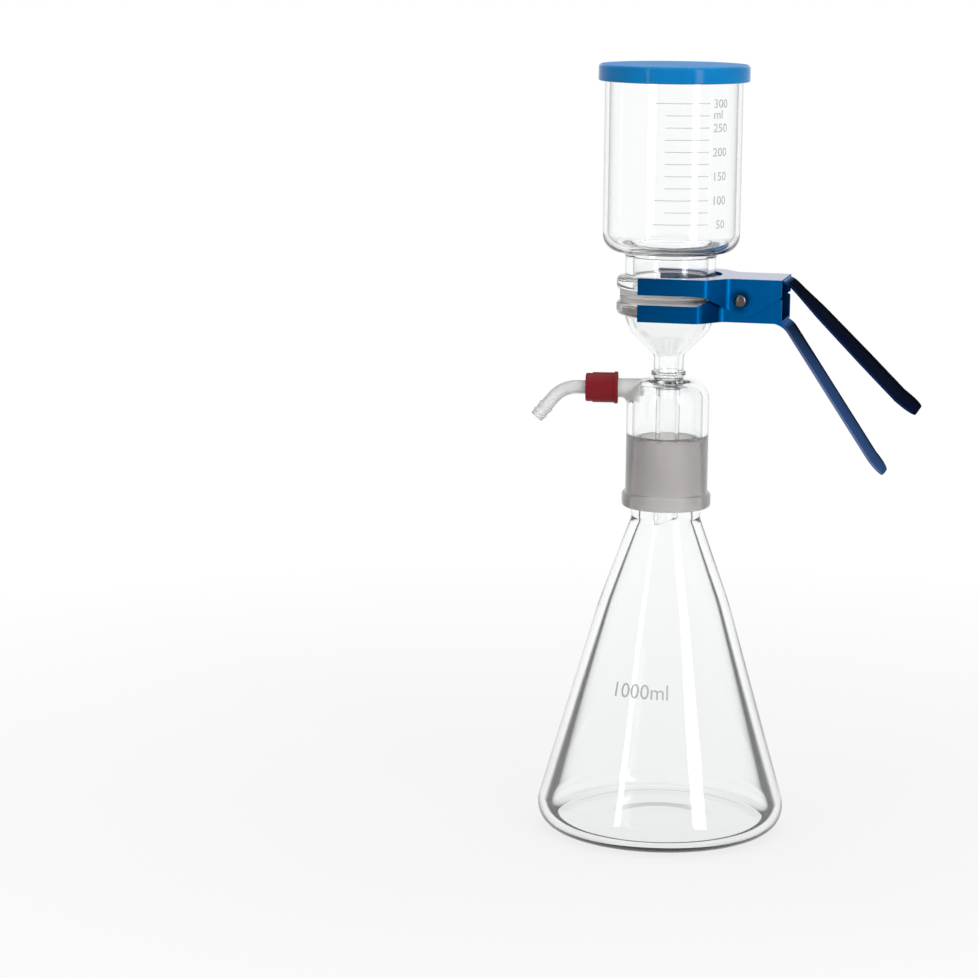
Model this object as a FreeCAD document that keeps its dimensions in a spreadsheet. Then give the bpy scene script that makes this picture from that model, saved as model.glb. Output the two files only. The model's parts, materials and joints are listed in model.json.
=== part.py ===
# Vacuum filtration unit: a conical receiver flask, a glass filter head with a side arm, a
# graduated cup with its lid, and the spring clamp that holds the two ground flanges together.
#
# Frame: millimetres, +Z up. The origin is the centre of the flask's foot, on the bench. The
# side arm points along -X, and the clamp's handles point along +X, turned a little towards -Y.
#
# Each piece is drawn in a local frame of its own and set in place by its Placement, so a
# change of one height carries everything that stands on it.
import FreeCAD, Part
import math
import os

import Sketcher

App = FreeCAD
doc = App.newDocument("VacuumFiltrationUnit")

SIZES = {
    # Receiver flask
    "flask_height": 220.5,  # foot to rim
    "flask_spread": 72.8,  # radius at which the cone would meet the bench
    "flask_base_rounding": 14.0,  # outside rounding between cone and foot
    "flask_shoulder_radius": 36.0,  # outside radius where the upper cone begins
    "flask_shoulder_height": 128.0,  # height where the upper cone begins
    "flask_shoulder_rounding": 120.0,  # blend of the lower and the upper cone
    "flask_waist_radius": 18.8,  # outside radius of the waist under the ground neck
    "flask_waist_drop": 6.0,  # waist below the ground neck
    "flask_waist_rounding": 6.0,  # hollow rounding of the waist
    "flask_wall": 5.2,  # wall of the cone, measured level
    "flask_floor": 5.0,  # thickness of the floor
    "flask_neck_bore": 14.6,  # radius of the bore through the neck
    "flask_rim_rounding": 1.4,  # rounding of the rim
    "foot_recess_radius": 30.0,  # radius of the raised middle of the foot
    "foot_recess_depth": 1.5,  # height of the raised middle of the foot
    # Ground joint between flask and head
    "joint_large_diameter": 40.0,  # wide end of the ground cone
    "joint_length": 38.0,  # length of the ground cone
    "joint_taper": 0.1,  # loss of diameter per unit of length
    "joint_clearance": 0.02,  # radial gap in the ground joint
    # Filter head
    "head_height": 117.0,  # skirt to flange face
    "skirt_bead_radius": 24.5,  # bead round the open end of the joint
    "skirt_bead_height": 8.4,  # height of that bead
    "skirt_bead_rounding": 1.8,  # rounding of that bead
    "jacket_radius": 22.6,  # outside radius of the vacuum jacket
    "jacket_height": 3.0,  # middle of the drip ring down to the top of the jacket
    "jacket_shoulder": 11.5,  # rounding of the jacket's shoulder
    "jacket_wall": 3.4,  # wall of the jacket
    "stem_radius": 6.5,  # outside radius of the drip stem
    "stem_bore": 4.7,  # radius of the bore through the stem
    "stem_drop": 12.0,  # stem below the skirt
    "stem_bevel": 7.0,  # height of the slanted tip
    "jacket_inner_rounding": 8.0,  # rounding inside the jacket's shoulder
    "head_neck_radius": 8.2,  # outside radius of the neck under the bowl
    "head_neck_bore": 5.4,  # radius of the bore through that neck
    "drip_ring_radius": 9.5,  # bead round the neck
    "drip_ring_height": 10.0,  # bowl's foot down to the middle of that bead
    "drip_ring_width": 2.8,  # width of that bead
    "drip_ring_rounding": 0.9,  # rounding of that bead
    "bowl_foot_height": 13.0,  # bowl's bend down to where bowl and neck meet
    "bowl_foot_rounding": 3.0,  # hollow rounding between neck and bowl
    "bowl_bend_rounding": 15.0,  # outside rounding where the bowl turns in
    "bowl_bend_radius": 21.4,  # outside radius where the bowl turns in
    "bowl_bend_height": 20.0,  # flange face down to where the bowl turns in
    "bowl_mouth_radius": 25.0,  # outside radius of the bowl under the flange
    "bowl_wall": 2.6,  # wall of the bowl
    "disc_ledge": 1.6,  # width of the ledge under the sintered disc
    # Ground flanges of head and cup
    "flange_radius": 29.2,  # outside radius of the rolled bead
    "flange_bead": 6.9,  # height of the rolled bead
    "flange_rounding": 2.7,  # rounding of the bead towards bowl or neck
    "flange_lip_rounding": 1.5,  # rounding of the bead towards the lip
    "lip_radius": 27.4,  # outside radius of the ground lip
    "lip_height": 3.6,  # height of the ground lip
    "lip_chamfer": 0.6,  # bevel of the ground lip's edge
    "disc_radius": 20.2,  # radius of the sintered disc
    "disc_thickness": 3.4,  # thickness of the sintered disc
    "disc_clearance": 0.1,  # gap round the sintered disc
    # Graduated cup
    "cup_height": 122.0,  # flange face to rim
    "cup_radius": 37.3,  # outside radius
    "cup_wall": 2.4,  # wall
    "cup_floor_height": 23.6,  # flange face to the underside of the floor
    "cup_floor": 3.0,  # thickness of the floor
    "cup_rounding": 9.5,  # outside rounding between wall and floor
    "cup_neck_radius": 24.7,  # outside radius of the neck
    "cup_neck_bore": 20.5,  # radius of the bore through the neck
    "cup_neck_rounding": 3.2,  # hollow rounding between neck and floor
    # Lid
    "lid_radius": 41.0,  # outside radius
    "lid_height": 9.0,  # overall height
    "lid_top": 3.0,  # thickness of the top
    "lid_rounding": 1.8,  # rounding of the top edge
    "lid_spigot_depth": 4.0,  # depth of the ring inside the cup
    "lid_spigot_wall": 1.6,  # wall of that ring
    "lid_seat": 0.02,  # gap between lid and rim
    "lid_clearance": 0.45,  # radial gap between lid and cup
    # Side arm with its screw cap and hose connector
    "arm_height": 5.7,  # top of the jacket down to the arm's axis
    "arm_reach": 39.9,  # head's axis to the end of the arm
    "arm_radius": 5.2,  # outside radius of the plain stub
    "arm_flare": 3.4,  # hollow rounding between arm and jacket
    "arm_bore": 3.2,  # radius of the bore
    "thread_radius": 6.5,  # outside radius over the thread
    "thread_length": 12.6,  # length of the threaded end
    "seal_thickness": 1.6,  # thickness of the sealing ring
    "seal_gap": 0.02,  # gap between the faces that the screw cap draws together
    "seal_bore": 2.4,  # radius of the hole in the sealing ring
    "collar_radius": 6.1,  # radius of the sealing ring and the connector's collar
    "collar_thickness": 1.8,  # thickness of the connector's collar
    "cap_radius": 8.8,  # outside radius of the screw cap
    "cap_length": 17.9,  # length of the screw cap
    "cap_end_wall": 2.0,  # thickness of the screw cap's end
    "cap_step": 0.5,  # step of the cap's end band
    "cap_band": 4.2,  # length of the cap's end band
    "cap_clearance": 0.35,  # radial gap of the cap on thread and connector
    "hose_tube_radius": 3.7,  # outside radius of the hose connector
    "hose_tube_bore": 2.2,  # radius of its bore
    "hose_tube_straight": 4.6,  # straight length before the bend
    "hose_bend_radius": 17.0,  # bend radius of the tube's centre line
    "hose_bend_angle": 50.0,  # turn of the bend, in degrees
    "hose_tip_length": 14.0,  # straight length after the bend
    "hose_barb_radius": 4.4,  # radius of each barb
    "hose_barb_length": 3.6,  # length of each barb
    "hose_barb_land": 1.2,  # plain length between barbs
    # Spring clamp
    "clamp_turn": -10.0,  # turn about Z, in degrees
    "clamp_seat": 0.08,  # gap between the jaws and the flanges
    "sheet": 1.3,  # sheet thickness of both levers
    "jaw_half_width": 31.0,  # half the width over the jaws
    "jaw_tip": 12.4,  # jaw tips beyond the axis of the head
    "jaw_slot": 26.2,  # half the width of the fork's slot
    "jaw_slot_reach": 28.2,  # bottom of the slot behind the axis of the head
    "jaw_slot_rounding": 25.6,  # rounding of the slot's bottom
    "jaw_bend": 6.0,  # bend radius of the side walls where they draw in
    "jaw_corner": 4.0,  # rounding of the side wall's edge where it turns towards the ear
    "jaw_end": 24.6,  # where the jaws start to narrow
    "jaw_taper": 10.5,  # length over which they narrow
    "jaw_wall_gap": 5.4,  # gap between the two side walls at the jaws
    "body_half_width": 18.0,  # half the width over the upper lever's body
    "body_end": 63.8,  # end of the side walls
    "lever_clearance": 0.4,  # gap between the nested side walls
    "lever_stagger": 3.6,  # lower jaws narrow earlier by this
    "ear_depth": 10.8,  # depth of each ear's point past the pin, before rounding
    "ear_offset": 2.5,  # ear's point behind the pin
    "ear_rounding": 8.0,  # rounding of each ear
    "upper_wall_end": 2.6,  # wall's edge above the pin at the upper lever's end
    "lower_wall_end": -0.9,  # wall's edge below the pin at the lower lever's end
    "pin_reach": 41.5,  # head's axis to the pin
    "pin_radius": 2.4,  # radius of the pin's shank
    "pin_clearance": 0.06,  # running gap of the pin
    "rivet_head_radius": 3.4,  # radius of the pin's heads
    "rivet_head_height": 1.5,  # height of the pin's heads
    "rivet_head_rounding": 1.1,  # rounding of the pin's heads
    "upper_half_width": 21.0,  # half the width of the upper handle
    "upper_neck": 13.0,  # half its width at the root
    "upper_neck_length": 7.0,  # length of the narrow root
    "upper_shoulder": 18.4,  # half its width where the flare slows
    "upper_shoulder_reach": 19.0,  # distance of that place from the body's end
    "upper_flare": 44.0,  # distance at which the full width is reached
    "upper_flare_rounding": 12.0,  # rounding of the flare in plan
    "lower_half_width": 14.8,  # half the width of the lower handle
    "handle_corner": 9.0,  # rounding of the handles' ends in plan
    "handle_bend": 12.0,  # outside bend radius at the root of each handle
    "upper_root": 65.0,  # where the upper handle leaves the top
    "upper_drop": 61.1,  # height of the upper handle's straight run
    "upper_run": 61.8,  # length of that run along X
    "upper_tip_drop": 8.0,  # height of the upper handle's tip
    "upper_tip_run": 10.4,  # length of that tip along X
    "lower_root": 64.0,  # where the lower handle leaves the bottom
    "lower_drop": 72.6,  # height of the lower handle's straight run
    "lower_run": 48.8,  # length of that run along X
    "lower_tip_drop": 8.6,  # height of the lower handle's tip
    "lower_tip_run": 7.2,  # length of that tip along X
    "tip_bend": 10.0,  # bend radius at the handles' tips
    # Torsion spring
    "spring_wire": 1.6,  # wire diameter
    "spring_coil_radius": 4.4,  # mean radius of the coil
    "spring_turns": 7.0,  # number of turns
    "spring_pitch": 2.3,  # pitch of the coil
    "spring_leg_reach": 17.0,  # pin to the end of each leg along X
    "spring_leg_gap": 0.12,  # gap between each leg and its lever
}

sheet = doc.addObject("Spreadsheet::Sheet", "Sizes")
for row, (alias, size) in enumerate(SIZES.items(), 1):
    sheet.set(f"A{row}", alias)
    sheet.set(f"B{row}", str(size))
    sheet.setAlias(f"B{row}", alias)
doc.recompute()

# Lengths that several pieces share, worked out from the sheet.
JOINT_BOTTOM = "(Sizes.flask_height - Sizes.joint_length - 0.5)"
JOINT_LARGE = "(Sizes.joint_large_diameter / 2)"
JOINT_SMALL = "(Sizes.joint_large_diameter / 2 - Sizes.joint_taper * Sizes.joint_length / 2)"
SEAM = f"({JOINT_BOTTOM} + Sizes.head_height)"
CUP_RIM = f"({SEAM} + Sizes.cup_height)"
BOWL_BEND = "(Sizes.head_height - Sizes.bowl_bend_height)"
BOWL_FOOT = f"({BOWL_BEND} - Sizes.bowl_foot_height)"
DRIP_RING = f"({BOWL_FOOT} - Sizes.drip_ring_height)"
JACKET_TOP = f"({DRIP_RING} - Sizes.jacket_height)"
ARM_LEVEL = f"({JACKET_TOP} - Sizes.arm_height)"
ARM_AXIS = f"({JOINT_BOTTOM} + {ARM_LEVEL})"
FLANGE = "(Sizes.flange_bead + Sizes.lip_height)"
CUP_INSIDE = "(Sizes.cup_radius - Sizes.cup_wall)"
CONE_SLOPE = "((Sizes.flask_spread - Sizes.flask_shoulder_radius) / Sizes.flask_shoulder_height)"
SEAL_FACE = "(Sizes.arm_reach + Sizes.seal_gap)"
COLLAR_FACE = f"({SEAL_FACE} + Sizes.seal_thickness + Sizes.seal_gap)"
CAP_SEAT = f"({COLLAR_FACE} + Sizes.collar_thickness + Sizes.seal_gap)"
CAP_END = f"({CAP_SEAT} + Sizes.cap_end_wall)"
CAP_BORE = "(Sizes.thread_radius + Sizes.cap_clearance)"
PLATE_INSIDE = f"({FLANGE} + Sizes.clamp_seat)"
PLATE_OUTSIDE = f"({PLATE_INSIDE} + Sizes.sheet)"
NESTED_HALF_WIDTH = "(Sizes.body_half_width - Sizes.sheet - Sizes.lever_clearance)"


def value(expression):
    """The number that an expression over the sheet gives."""
    found = sheet.evalExpression(expression)
    return float(getattr(found, "Value", found))


def new_body(label):
    body = doc.addObject("PartDesign::Body", label)
    body.Label = label
    return body


def origin_plane(body, role):
    return next(feature for feature in body.Origin.OriginFeatures if feature.Role == role)


def new_sketch(body, name, plane, lift=None, shift=None):
    """A sketch on one of the body's own planes; lift raises it along that plane's normal."""
    sketch = body.newObject("Sketcher::SketchObject", name)
    sketch.AttachmentSupport = [(origin_plane(body, plane), "")]
    sketch.MapMode = "FlatFace"
    if lift:
        sketch.setExpression("AttachmentOffset.Base.z", lift)
    if shift:
        across, up, turn = shift
        sketch.AttachmentOffset = App.Placement(App.Vector(), App.Rotation(App.Vector(0, 0, 1), 1))
        sketch.setExpression("AttachmentOffset.Base.x", across)
        sketch.setExpression("AttachmentOffset.Base.y", up)
        sketch.setExpression("AttachmentOffset.Rotation.Angle", turn)
    return sketch


def bind(sketch, constraint, name, expression):
    """Add one dimension and bind it to the sheet."""
    index = sketch.addConstraint(constraint)
    sketch.renameConstraint(index, name)
    sketch.setExpression(f"Constraints.{name}", expression)


def place_point(sketch, name, geometry, end, across, up):
    bind(sketch, Sketcher.Constraint("DistanceX", -1, 1, geometry, end, value(across)),
         f"{name}_across", across)
    bind(sketch, Sketcher.Constraint("DistanceY", -1, 1, geometry, end, value(up)),
         f"{name}_up", up)


def draw_outline(sketch, corners, closed=True):
    """Straight edges through the corners, each given as (across, up) or (across, up, rounding)
    in expressions over the sheet. A rounded corner is an arc tangent to both its edges."""
    points = [App.Vector(value(corner[0]), value(corner[1]), 0) for corner in corners]
    count = len(points)
    arrive, leave, arcs = list(points), list(points), {}
    for index, corner in enumerate(corners):
        if len(corner) < 3:
            continue
        radius = value(corner[2])
        back = (points[index - 1] - points[index]).normalize()
        ahead = (points[(index + 1) % count] - points[index]).normalize()
        half = back.getAngle(ahead) / 2
        arrive[index] = points[index] + back * (radius / math.tan(half))
        leave[index] = points[index] + ahead * (radius / math.tan(half))
        centre = points[index] + (back + ahead).normalize() * (radius / math.sin(half))
        first, last = arrive[index] - centre, leave[index] - centre
        forward = first.cross(last).z > 0
        if not forward:
            first, last = last, first
        start = math.atan2(first.y, first.x)
        sweep = (math.atan2(last.y, last.x) - start) % (2 * math.pi)
        circle = Part.Circle(centre, App.Vector(0, 0, 1), radius)
        arcs[index] = (Part.ArcOfCircle(circle, start, start + sweep), 1 if forward else 2)
    edges = count if closed else count - 1
    lines = [
        sketch.addGeometry(Part.LineSegment(leave[index], arrive[(index + 1) % count]), False)
        for index in range(edges)
    ]
    for index, corner in enumerate(corners):
        before = lines[index - 1] if closed or index > 0 else None
        after = lines[index] if closed or index < count - 1 else None
        if index in arcs:
            geometry, first_end = arcs[index]
            arc = sketch.addGeometry(geometry, False)
            point = sketch.addGeometry(Part.Point(points[index]), True)
            sketch.addConstraint([
                Sketcher.Constraint("PointOnObject", point, 1, before),
                Sketcher.Constraint("PointOnObject", point, 1, after),
                Sketcher.Constraint("Tangent", before, 2, arc, first_end),
                Sketcher.Constraint("Tangent", arc, 3 - first_end, after, 1),
            ])
            place_point(sketch, f"corner{index}", point, 1, corner[0], corner[1])
            bind(sketch, Sketcher.Constraint("Radius", arc, value(corner[2])),
                 f"corner{index}_rounding", corner[2])
        elif before is not None and after is not None:
            sketch.addConstraint(Sketcher.Constraint("Coincident", before, 2, after, 1))
            place_point(sketch, f"corner{index}", after, 1, corner[0], corner[1])
        else:
            line, end = (after, 1) if before is None else (before, 2)
            place_point(sketch, f"corner{index}", line, end, corner[0], corner[1])


def draw_circle(sketch, name, across, up, radius):
    centre = App.Vector(value(across), value(up), 0)
    circle = sketch.addGeometry(Part.Circle(centre, App.Vector(0, 0, 1), value(radius)), False)
    place_point(sketch, name, circle, 3, across, up)
    bind(sketch, Sketcher.Constraint("Radius", circle, value(radius)), f"{name}_radius", radius)


def turned(body, name, sketch, axis="V_Axis", cut=False):
    """Turn a sketch about one of its axes, as added or removed material."""
    kind = "PartDesign::Groove" if cut else "PartDesign::Revolution"
    feature = body.newObject(kind, name)
    feature.Profile = sketch
    feature.ReferenceAxis = (sketch, [axis])
    feature.Angle = 360
    return feature


def extruded(body, name, sketch, length=None, cut=False, both_ways=False, reverse=False):
    """Extrude a sketch; without a length it runs through everything."""
    feature = body.newObject("PartDesign::Pocket" if cut else "PartDesign::Pad", name)
    feature.Profile = sketch
    feature.Reversed = reverse
    if both_ways:
        feature.SideType = "Symmetric"
    if length:
        feature.setExpression("Length", length)
    else:
        feature.Type = "ThroughAll"
    return feature


def swept(body, name, profile, path, cut=False):
    """Carry a sketch along a path sketch, as added or removed material."""
    feature = body.newObject("PartDesign::SubtractivePipe" if cut else "PartDesign::AdditivePipe", name)
    feature.Profile = profile
    feature.Spine = path
    return feature


def round_edges(body, name, base, chosen, radius):
    """Round those edges of a feature that the test picks out."""
    doc.recompute()
    names = [f"Edge{index}" for index, edge in enumerate(base.Shape.Edges, 1) if chosen(edge)]
    feature = body.newObject("PartDesign::Fillet", name)
    feature.Base = (base, names)
    feature.setExpression("Radius", radius)
    return feature


def receiver_flask():
    """Heavy conical flask, turned in one profile: foot, cone, waist and ground neck."""
    waist = f"({JOINT_BOTTOM} - Sizes.flask_waist_drop)"
    upper_slope = (f"((Sizes.flask_shoulder_radius - Sizes.flask_waist_radius)"
                   f" / ({waist} - Sizes.flask_shoulder_height))")
    inner_shoulder = "(Sizes.flask_shoulder_radius - Sizes.flask_wall)"
    body = new_body("receiver_flask")
    sketch = new_sketch(body, "FlaskProfile", "XZ_Plane")
    draw_outline(sketch, [
        ("0", "Sizes.foot_recess_depth"),
        ("Sizes.foot_recess_radius - 2 * Sizes.foot_recess_depth", "Sizes.foot_recess_depth"),
        ("Sizes.foot_recess_radius", "0"),
        ("Sizes.flask_spread", "0", "Sizes.flask_base_rounding"),
        ("Sizes.flask_shoulder_radius", "Sizes.flask_shoulder_height", "Sizes.flask_shoulder_rounding"),
        ("Sizes.flask_waist_radius", waist, "Sizes.flask_waist_rounding"),
        (f"{JOINT_LARGE} - Sizes.joint_clearance", JOINT_BOTTOM),
        (f"{JOINT_SMALL} - Sizes.joint_clearance", f"{JOINT_BOTTOM} + Sizes.joint_length"),
        (f"{JOINT_SMALL} - Sizes.joint_clearance", "Sizes.flask_height", "Sizes.flask_rim_rounding / 4"),
        ("Sizes.flask_neck_bore", "Sizes.flask_height", "Sizes.flask_rim_rounding"),
        ("Sizes.flask_neck_bore",
         f"Sizes.flask_shoulder_height + ({inner_shoulder} - Sizes.flask_neck_bore) / {upper_slope}",
         "Sizes.flask_waist_rounding + Sizes.flask_wall"),
        (inner_shoulder, "Sizes.flask_shoulder_height",
         "Sizes.flask_shoulder_rounding - Sizes.flask_wall"),
        (f"Sizes.flask_spread - Sizes.flask_wall - {CONE_SLOPE} * Sizes.flask_floor",
         "Sizes.flask_floor", "Sizes.flask_base_rounding - Sizes.flask_floor"),
        ("0", "Sizes.flask_floor"),
    ])
    turned(body, "FlaskGlass", sketch)
    return body


def filter_head():
    """Filter head in one piece of glass: flange, bowl, neck, jacket, stem, joint and side arm."""
    bead_bottom = f"(Sizes.head_height - {FLANGE})"
    bead_top = "(Sizes.head_height - Sizes.lip_height)"
    ring_bottom = f"({DRIP_RING} - Sizes.drip_ring_width / 2)"
    ring_top = f"({DRIP_RING} + Sizes.drip_ring_width / 2)"
    thread_start = "(Sizes.arm_reach - Sizes.thread_length)"
    body = new_body("filter_head")

    outside = new_sketch(body, "HeadOutside", "XZ_Plane")
    draw_outline(outside, [
        ("0", "-Sizes.stem_drop"),
        ("Sizes.stem_radius", "-Sizes.stem_drop"),
        ("Sizes.stem_radius", "0"),
        ("Sizes.skirt_bead_radius", "0", "Sizes.skirt_bead_rounding"),
        ("Sizes.skirt_bead_radius", "Sizes.skirt_bead_height", "Sizes.skirt_bead_rounding"),
        ("Sizes.jacket_radius", "Sizes.skirt_bead_height"),
        ("Sizes.jacket_radius", JACKET_TOP, "Sizes.jacket_shoulder"),
        ("Sizes.head_neck_radius", JACKET_TOP),
        ("Sizes.head_neck_radius", ring_bottom),
        ("Sizes.drip_ring_radius", ring_bottom, "Sizes.drip_ring_rounding"),
        ("Sizes.drip_ring_radius", ring_top, "Sizes.drip_ring_rounding"),
        ("Sizes.head_neck_radius", ring_top),
        ("Sizes.head_neck_radius", BOWL_FOOT, "Sizes.bowl_foot_rounding"),
        ("Sizes.bowl_bend_radius", BOWL_BEND, "Sizes.bowl_bend_rounding"),
        ("Sizes.bowl_mouth_radius", bead_bottom),
        ("Sizes.flange_radius", bead_bottom, "Sizes.flange_rounding"),
        ("Sizes.flange_radius", bead_top, "Sizes.flange_lip_rounding"),
        ("Sizes.lip_radius", bead_top),
        ("Sizes.lip_radius", "Sizes.head_height - Sizes.lip_chamfer"),
        ("Sizes.lip_radius - Sizes.lip_chamfer", "Sizes.head_height"),
        ("0", "Sizes.head_height"),
    ])
    turned(body, "HeadSolid", outside)

    arm = new_sketch(body, "ArmOutside", "XZ_Plane", shift=("0", ARM_LEVEL, "0"))
    draw_outline(arm, [
        ("-Sizes.stem_radius * 2", "0"),
        (f"-{thread_start}", "0"),
        ("-Sizes.arm_reach", "0"),
        ("-Sizes.arm_reach", "Sizes.thread_radius", "Sizes.lip_chamfer"),
        (f"-{thread_start}", "Sizes.thread_radius"),
        (f"-{thread_start}", "Sizes.arm_radius"),
        ("-Sizes.stem_radius * 2", "Sizes.arm_radius"),
    ])
    arm_solid = turned(body, "ArmSolid", arm, axis="H_Axis")
    arm_radius, arm_height, jacket_radius = (
        value("Sizes.arm_radius"), value(ARM_LEVEL), value("Sizes.jacket_radius"))

    def at_arm_root(edge):
        """True on the curve where the arm leaves the jacket."""
        middle = edge.valueAt((edge.FirstParameter + edge.LastParameter) / 2)
        offset = math.hypot(middle.y, middle.z - arm_height)
        return abs(offset - arm_radius) < 0.01 and -jacket_radius - 0.1 < middle.x < 0 and not (
            edge.Curve.TypeId == "Part::GeomLine")

    round_edges(body, "ArmFlare", arm_solid, at_arm_root, "Sizes.arm_flare")

    jacket = new_sketch(body, "JacketSpace", "XZ_Plane")
    ceiling = f"({JACKET_TOP} - Sizes.jacket_wall)"
    inside = "(Sizes.jacket_radius - Sizes.jacket_wall)"
    draw_outline(jacket, [
        ("Sizes.stem_radius", "0"),
        (JOINT_LARGE, "0"),
        (JOINT_SMALL, "Sizes.joint_length"),
        (inside, f"Sizes.joint_length + 2 * ({inside} - {JOINT_SMALL})"),
        (inside, ceiling, "Sizes.jacket_inner_rounding"),
        ("Sizes.stem_radius", ceiling, "Sizes.jacket_wall / 2"),
    ])
    turned(body, "JacketHollow", jacket, cut=True)

    bore = new_sketch(body, "BowlAndBore", "XZ_Plane")
    lift = "(Sizes.bowl_wall * 0.4)"
    ledge = "(Sizes.head_height - Sizes.disc_thickness)"
    draw_outline(bore, [
        ("0", "-Sizes.stem_drop"),
        ("Sizes.stem_bore", "-Sizes.stem_drop"),
        ("Sizes.stem_bore", ceiling),
        ("Sizes.head_neck_bore", DRIP_RING),
        ("Sizes.head_neck_bore", f"{BOWL_FOOT} + {lift}",
         "Sizes.bowl_foot_rounding + Sizes.bowl_wall"),
        ("Sizes.bowl_bend_radius - Sizes.bowl_wall", f"{BOWL_BEND} + {lift}",
         "Sizes.bowl_bend_rounding - Sizes.bowl_wall"),
        ("Sizes.bowl_mouth_radius - Sizes.bowl_wall", bead_bottom),
        ("Sizes.disc_radius - Sizes.disc_ledge", f"{ledge} - Sizes.bowl_wall"),
        ("Sizes.disc_radius - Sizes.disc_ledge", ledge),
        ("Sizes.disc_radius + Sizes.disc_clearance", ledge),
        ("Sizes.disc_radius + Sizes.disc_clearance", "Sizes.head_height"),
        ("0", "Sizes.head_height"),
    ])
    turned(body, "BoreHollow", bore, cut=True)

    arm_bore = new_sketch(body, "ArmBore", "XZ_Plane", shift=("0", ARM_LEVEL, "0"))
    draw_outline(arm_bore, [
        ("-Sizes.stem_radius * 1.5", "0"),
        ("-Sizes.arm_reach", "0"),
        ("-Sizes.arm_reach", "Sizes.arm_bore"),
        ("-Sizes.stem_radius * 1.5", "Sizes.arm_bore"),
    ])
    turned(body, "ArmHollow", arm_bore, axis="H_Axis", cut=True)

    tip = new_sketch(body, "TipSlant", "XZ_Plane")
    draw_outline(tip, [
        ("-Sizes.stem_radius", "-Sizes.stem_drop"),
        ("Sizes.stem_radius", "-Sizes.stem_drop + Sizes.stem_bevel"),
        ("Sizes.stem_radius * 2", "-Sizes.stem_drop + Sizes.stem_bevel"),
        ("Sizes.stem_radius * 2", "-Sizes.stem_drop * 2"),
        ("-Sizes.stem_radius", "-Sizes.stem_drop * 2"),
    ])
    extruded(body, "TipCut", tip, cut=True, both_ways=True)
    body.setExpression("Placement.Base.z", JOINT_BOTTOM)
    return body


def sintered_disc():
    """Porous glass disc on its ledge, flush with the ground face of the head."""
    body = new_body("sintered_disc")
    sketch = new_sketch(body, "DiscOutline", "XY_Plane", lift="-Sizes.disc_thickness")
    draw_circle(sketch, "rim", "0", "0", "Sizes.disc_radius")
    extruded(body, "Disc", sketch, length="Sizes.disc_thickness")
    body.setExpression("Placement.Base.z", SEAM)
    return body


def filter_cup():
    """Open cup with a ground flange under its narrow neck."""
    body = new_body("filter_cup")
    sketch = new_sketch(body, "CupProfile", "XZ_Plane")
    draw_outline(sketch, [
        ("Sizes.cup_neck_bore", "0"),
        ("Sizes.lip_radius - Sizes.lip_chamfer", "0"),
        ("Sizes.lip_radius", "Sizes.lip_chamfer"),
        ("Sizes.lip_radius", "Sizes.lip_height"),
        ("Sizes.flange_radius", "Sizes.lip_height", "Sizes.flange_lip_rounding"),
        ("Sizes.flange_radius", FLANGE, "Sizes.flange_rounding"),
        ("Sizes.cup_neck_radius", FLANGE),
        ("Sizes.cup_neck_radius", "Sizes.cup_floor_height", "Sizes.cup_neck_rounding"),
        ("Sizes.cup_radius", "Sizes.cup_floor_height", "Sizes.cup_rounding"),
        ("Sizes.cup_radius", "Sizes.cup_height", "Sizes.cup_wall / 3"),
        (CUP_INSIDE, "Sizes.cup_height", "Sizes.cup_wall / 3"),
        (CUP_INSIDE, "Sizes.cup_floor_height + Sizes.cup_floor", "Sizes.cup_rounding - Sizes.cup_wall"),
        ("Sizes.cup_neck_bore", "Sizes.cup_floor_height + Sizes.cup_floor", "Sizes.cup_neck_rounding"),
    ])
    turned(body, "CupGlass", sketch)
    body.setExpression("Placement.Base.z", SEAM)
    return body


def cup_lid():
    """Loose lid: a flat top, a skirt over the rim and a ring that centres it inside the cup."""
    skirt_inside = "(Sizes.cup_radius + Sizes.lid_clearance)"
    ring_outside = f"({CUP_INSIDE} - Sizes.lid_clearance)"
    body = new_body("cup_lid")
    sketch = new_sketch(body, "LidProfile", "XZ_Plane")
    draw_outline(sketch, [
        ("0", "0"),
        (f"{ring_outside} - Sizes.lid_spigot_wall", "0"),
        (f"{ring_outside} - Sizes.lid_spigot_wall", "-Sizes.lid_spigot_depth"),
        (ring_outside, "-Sizes.lid_spigot_depth", "Sizes.lid_spigot_wall / 2"),
        (ring_outside, "0"),
        (skirt_inside, "0"),
        (skirt_inside, "Sizes.lid_top - Sizes.lid_height"),
        ("Sizes.lid_radius", "Sizes.lid_top - Sizes.lid_height", "Sizes.lid_rounding / 3"),
        ("Sizes.lid_radius", "Sizes.lid_top", "Sizes.lid_rounding"),
        ("0", "Sizes.lid_top"),
    ])
    turned(body, "LidShell", sketch)
    body.setExpression("Placement.Base.z", f"{CUP_RIM} + Sizes.lid_seat")
    return body


def arm_seal():
    """Sealing ring between the ground end of the side arm and the connector's collar."""
    body = new_body("arm_seal")
    sketch = new_sketch(body, "SealOutline", "YZ_Plane", lift=f"-{SEAL_FACE} - Sizes.seal_thickness")
    draw_circle(sketch, "outside", "0", "0", "Sizes.collar_radius")
    draw_circle(sketch, "hole", "0", "0", "Sizes.seal_bore")
    extruded(body, "Seal", sketch, length="Sizes.seal_thickness")
    body.setExpression("Placement.Base.z", ARM_AXIS)
    return body


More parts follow.
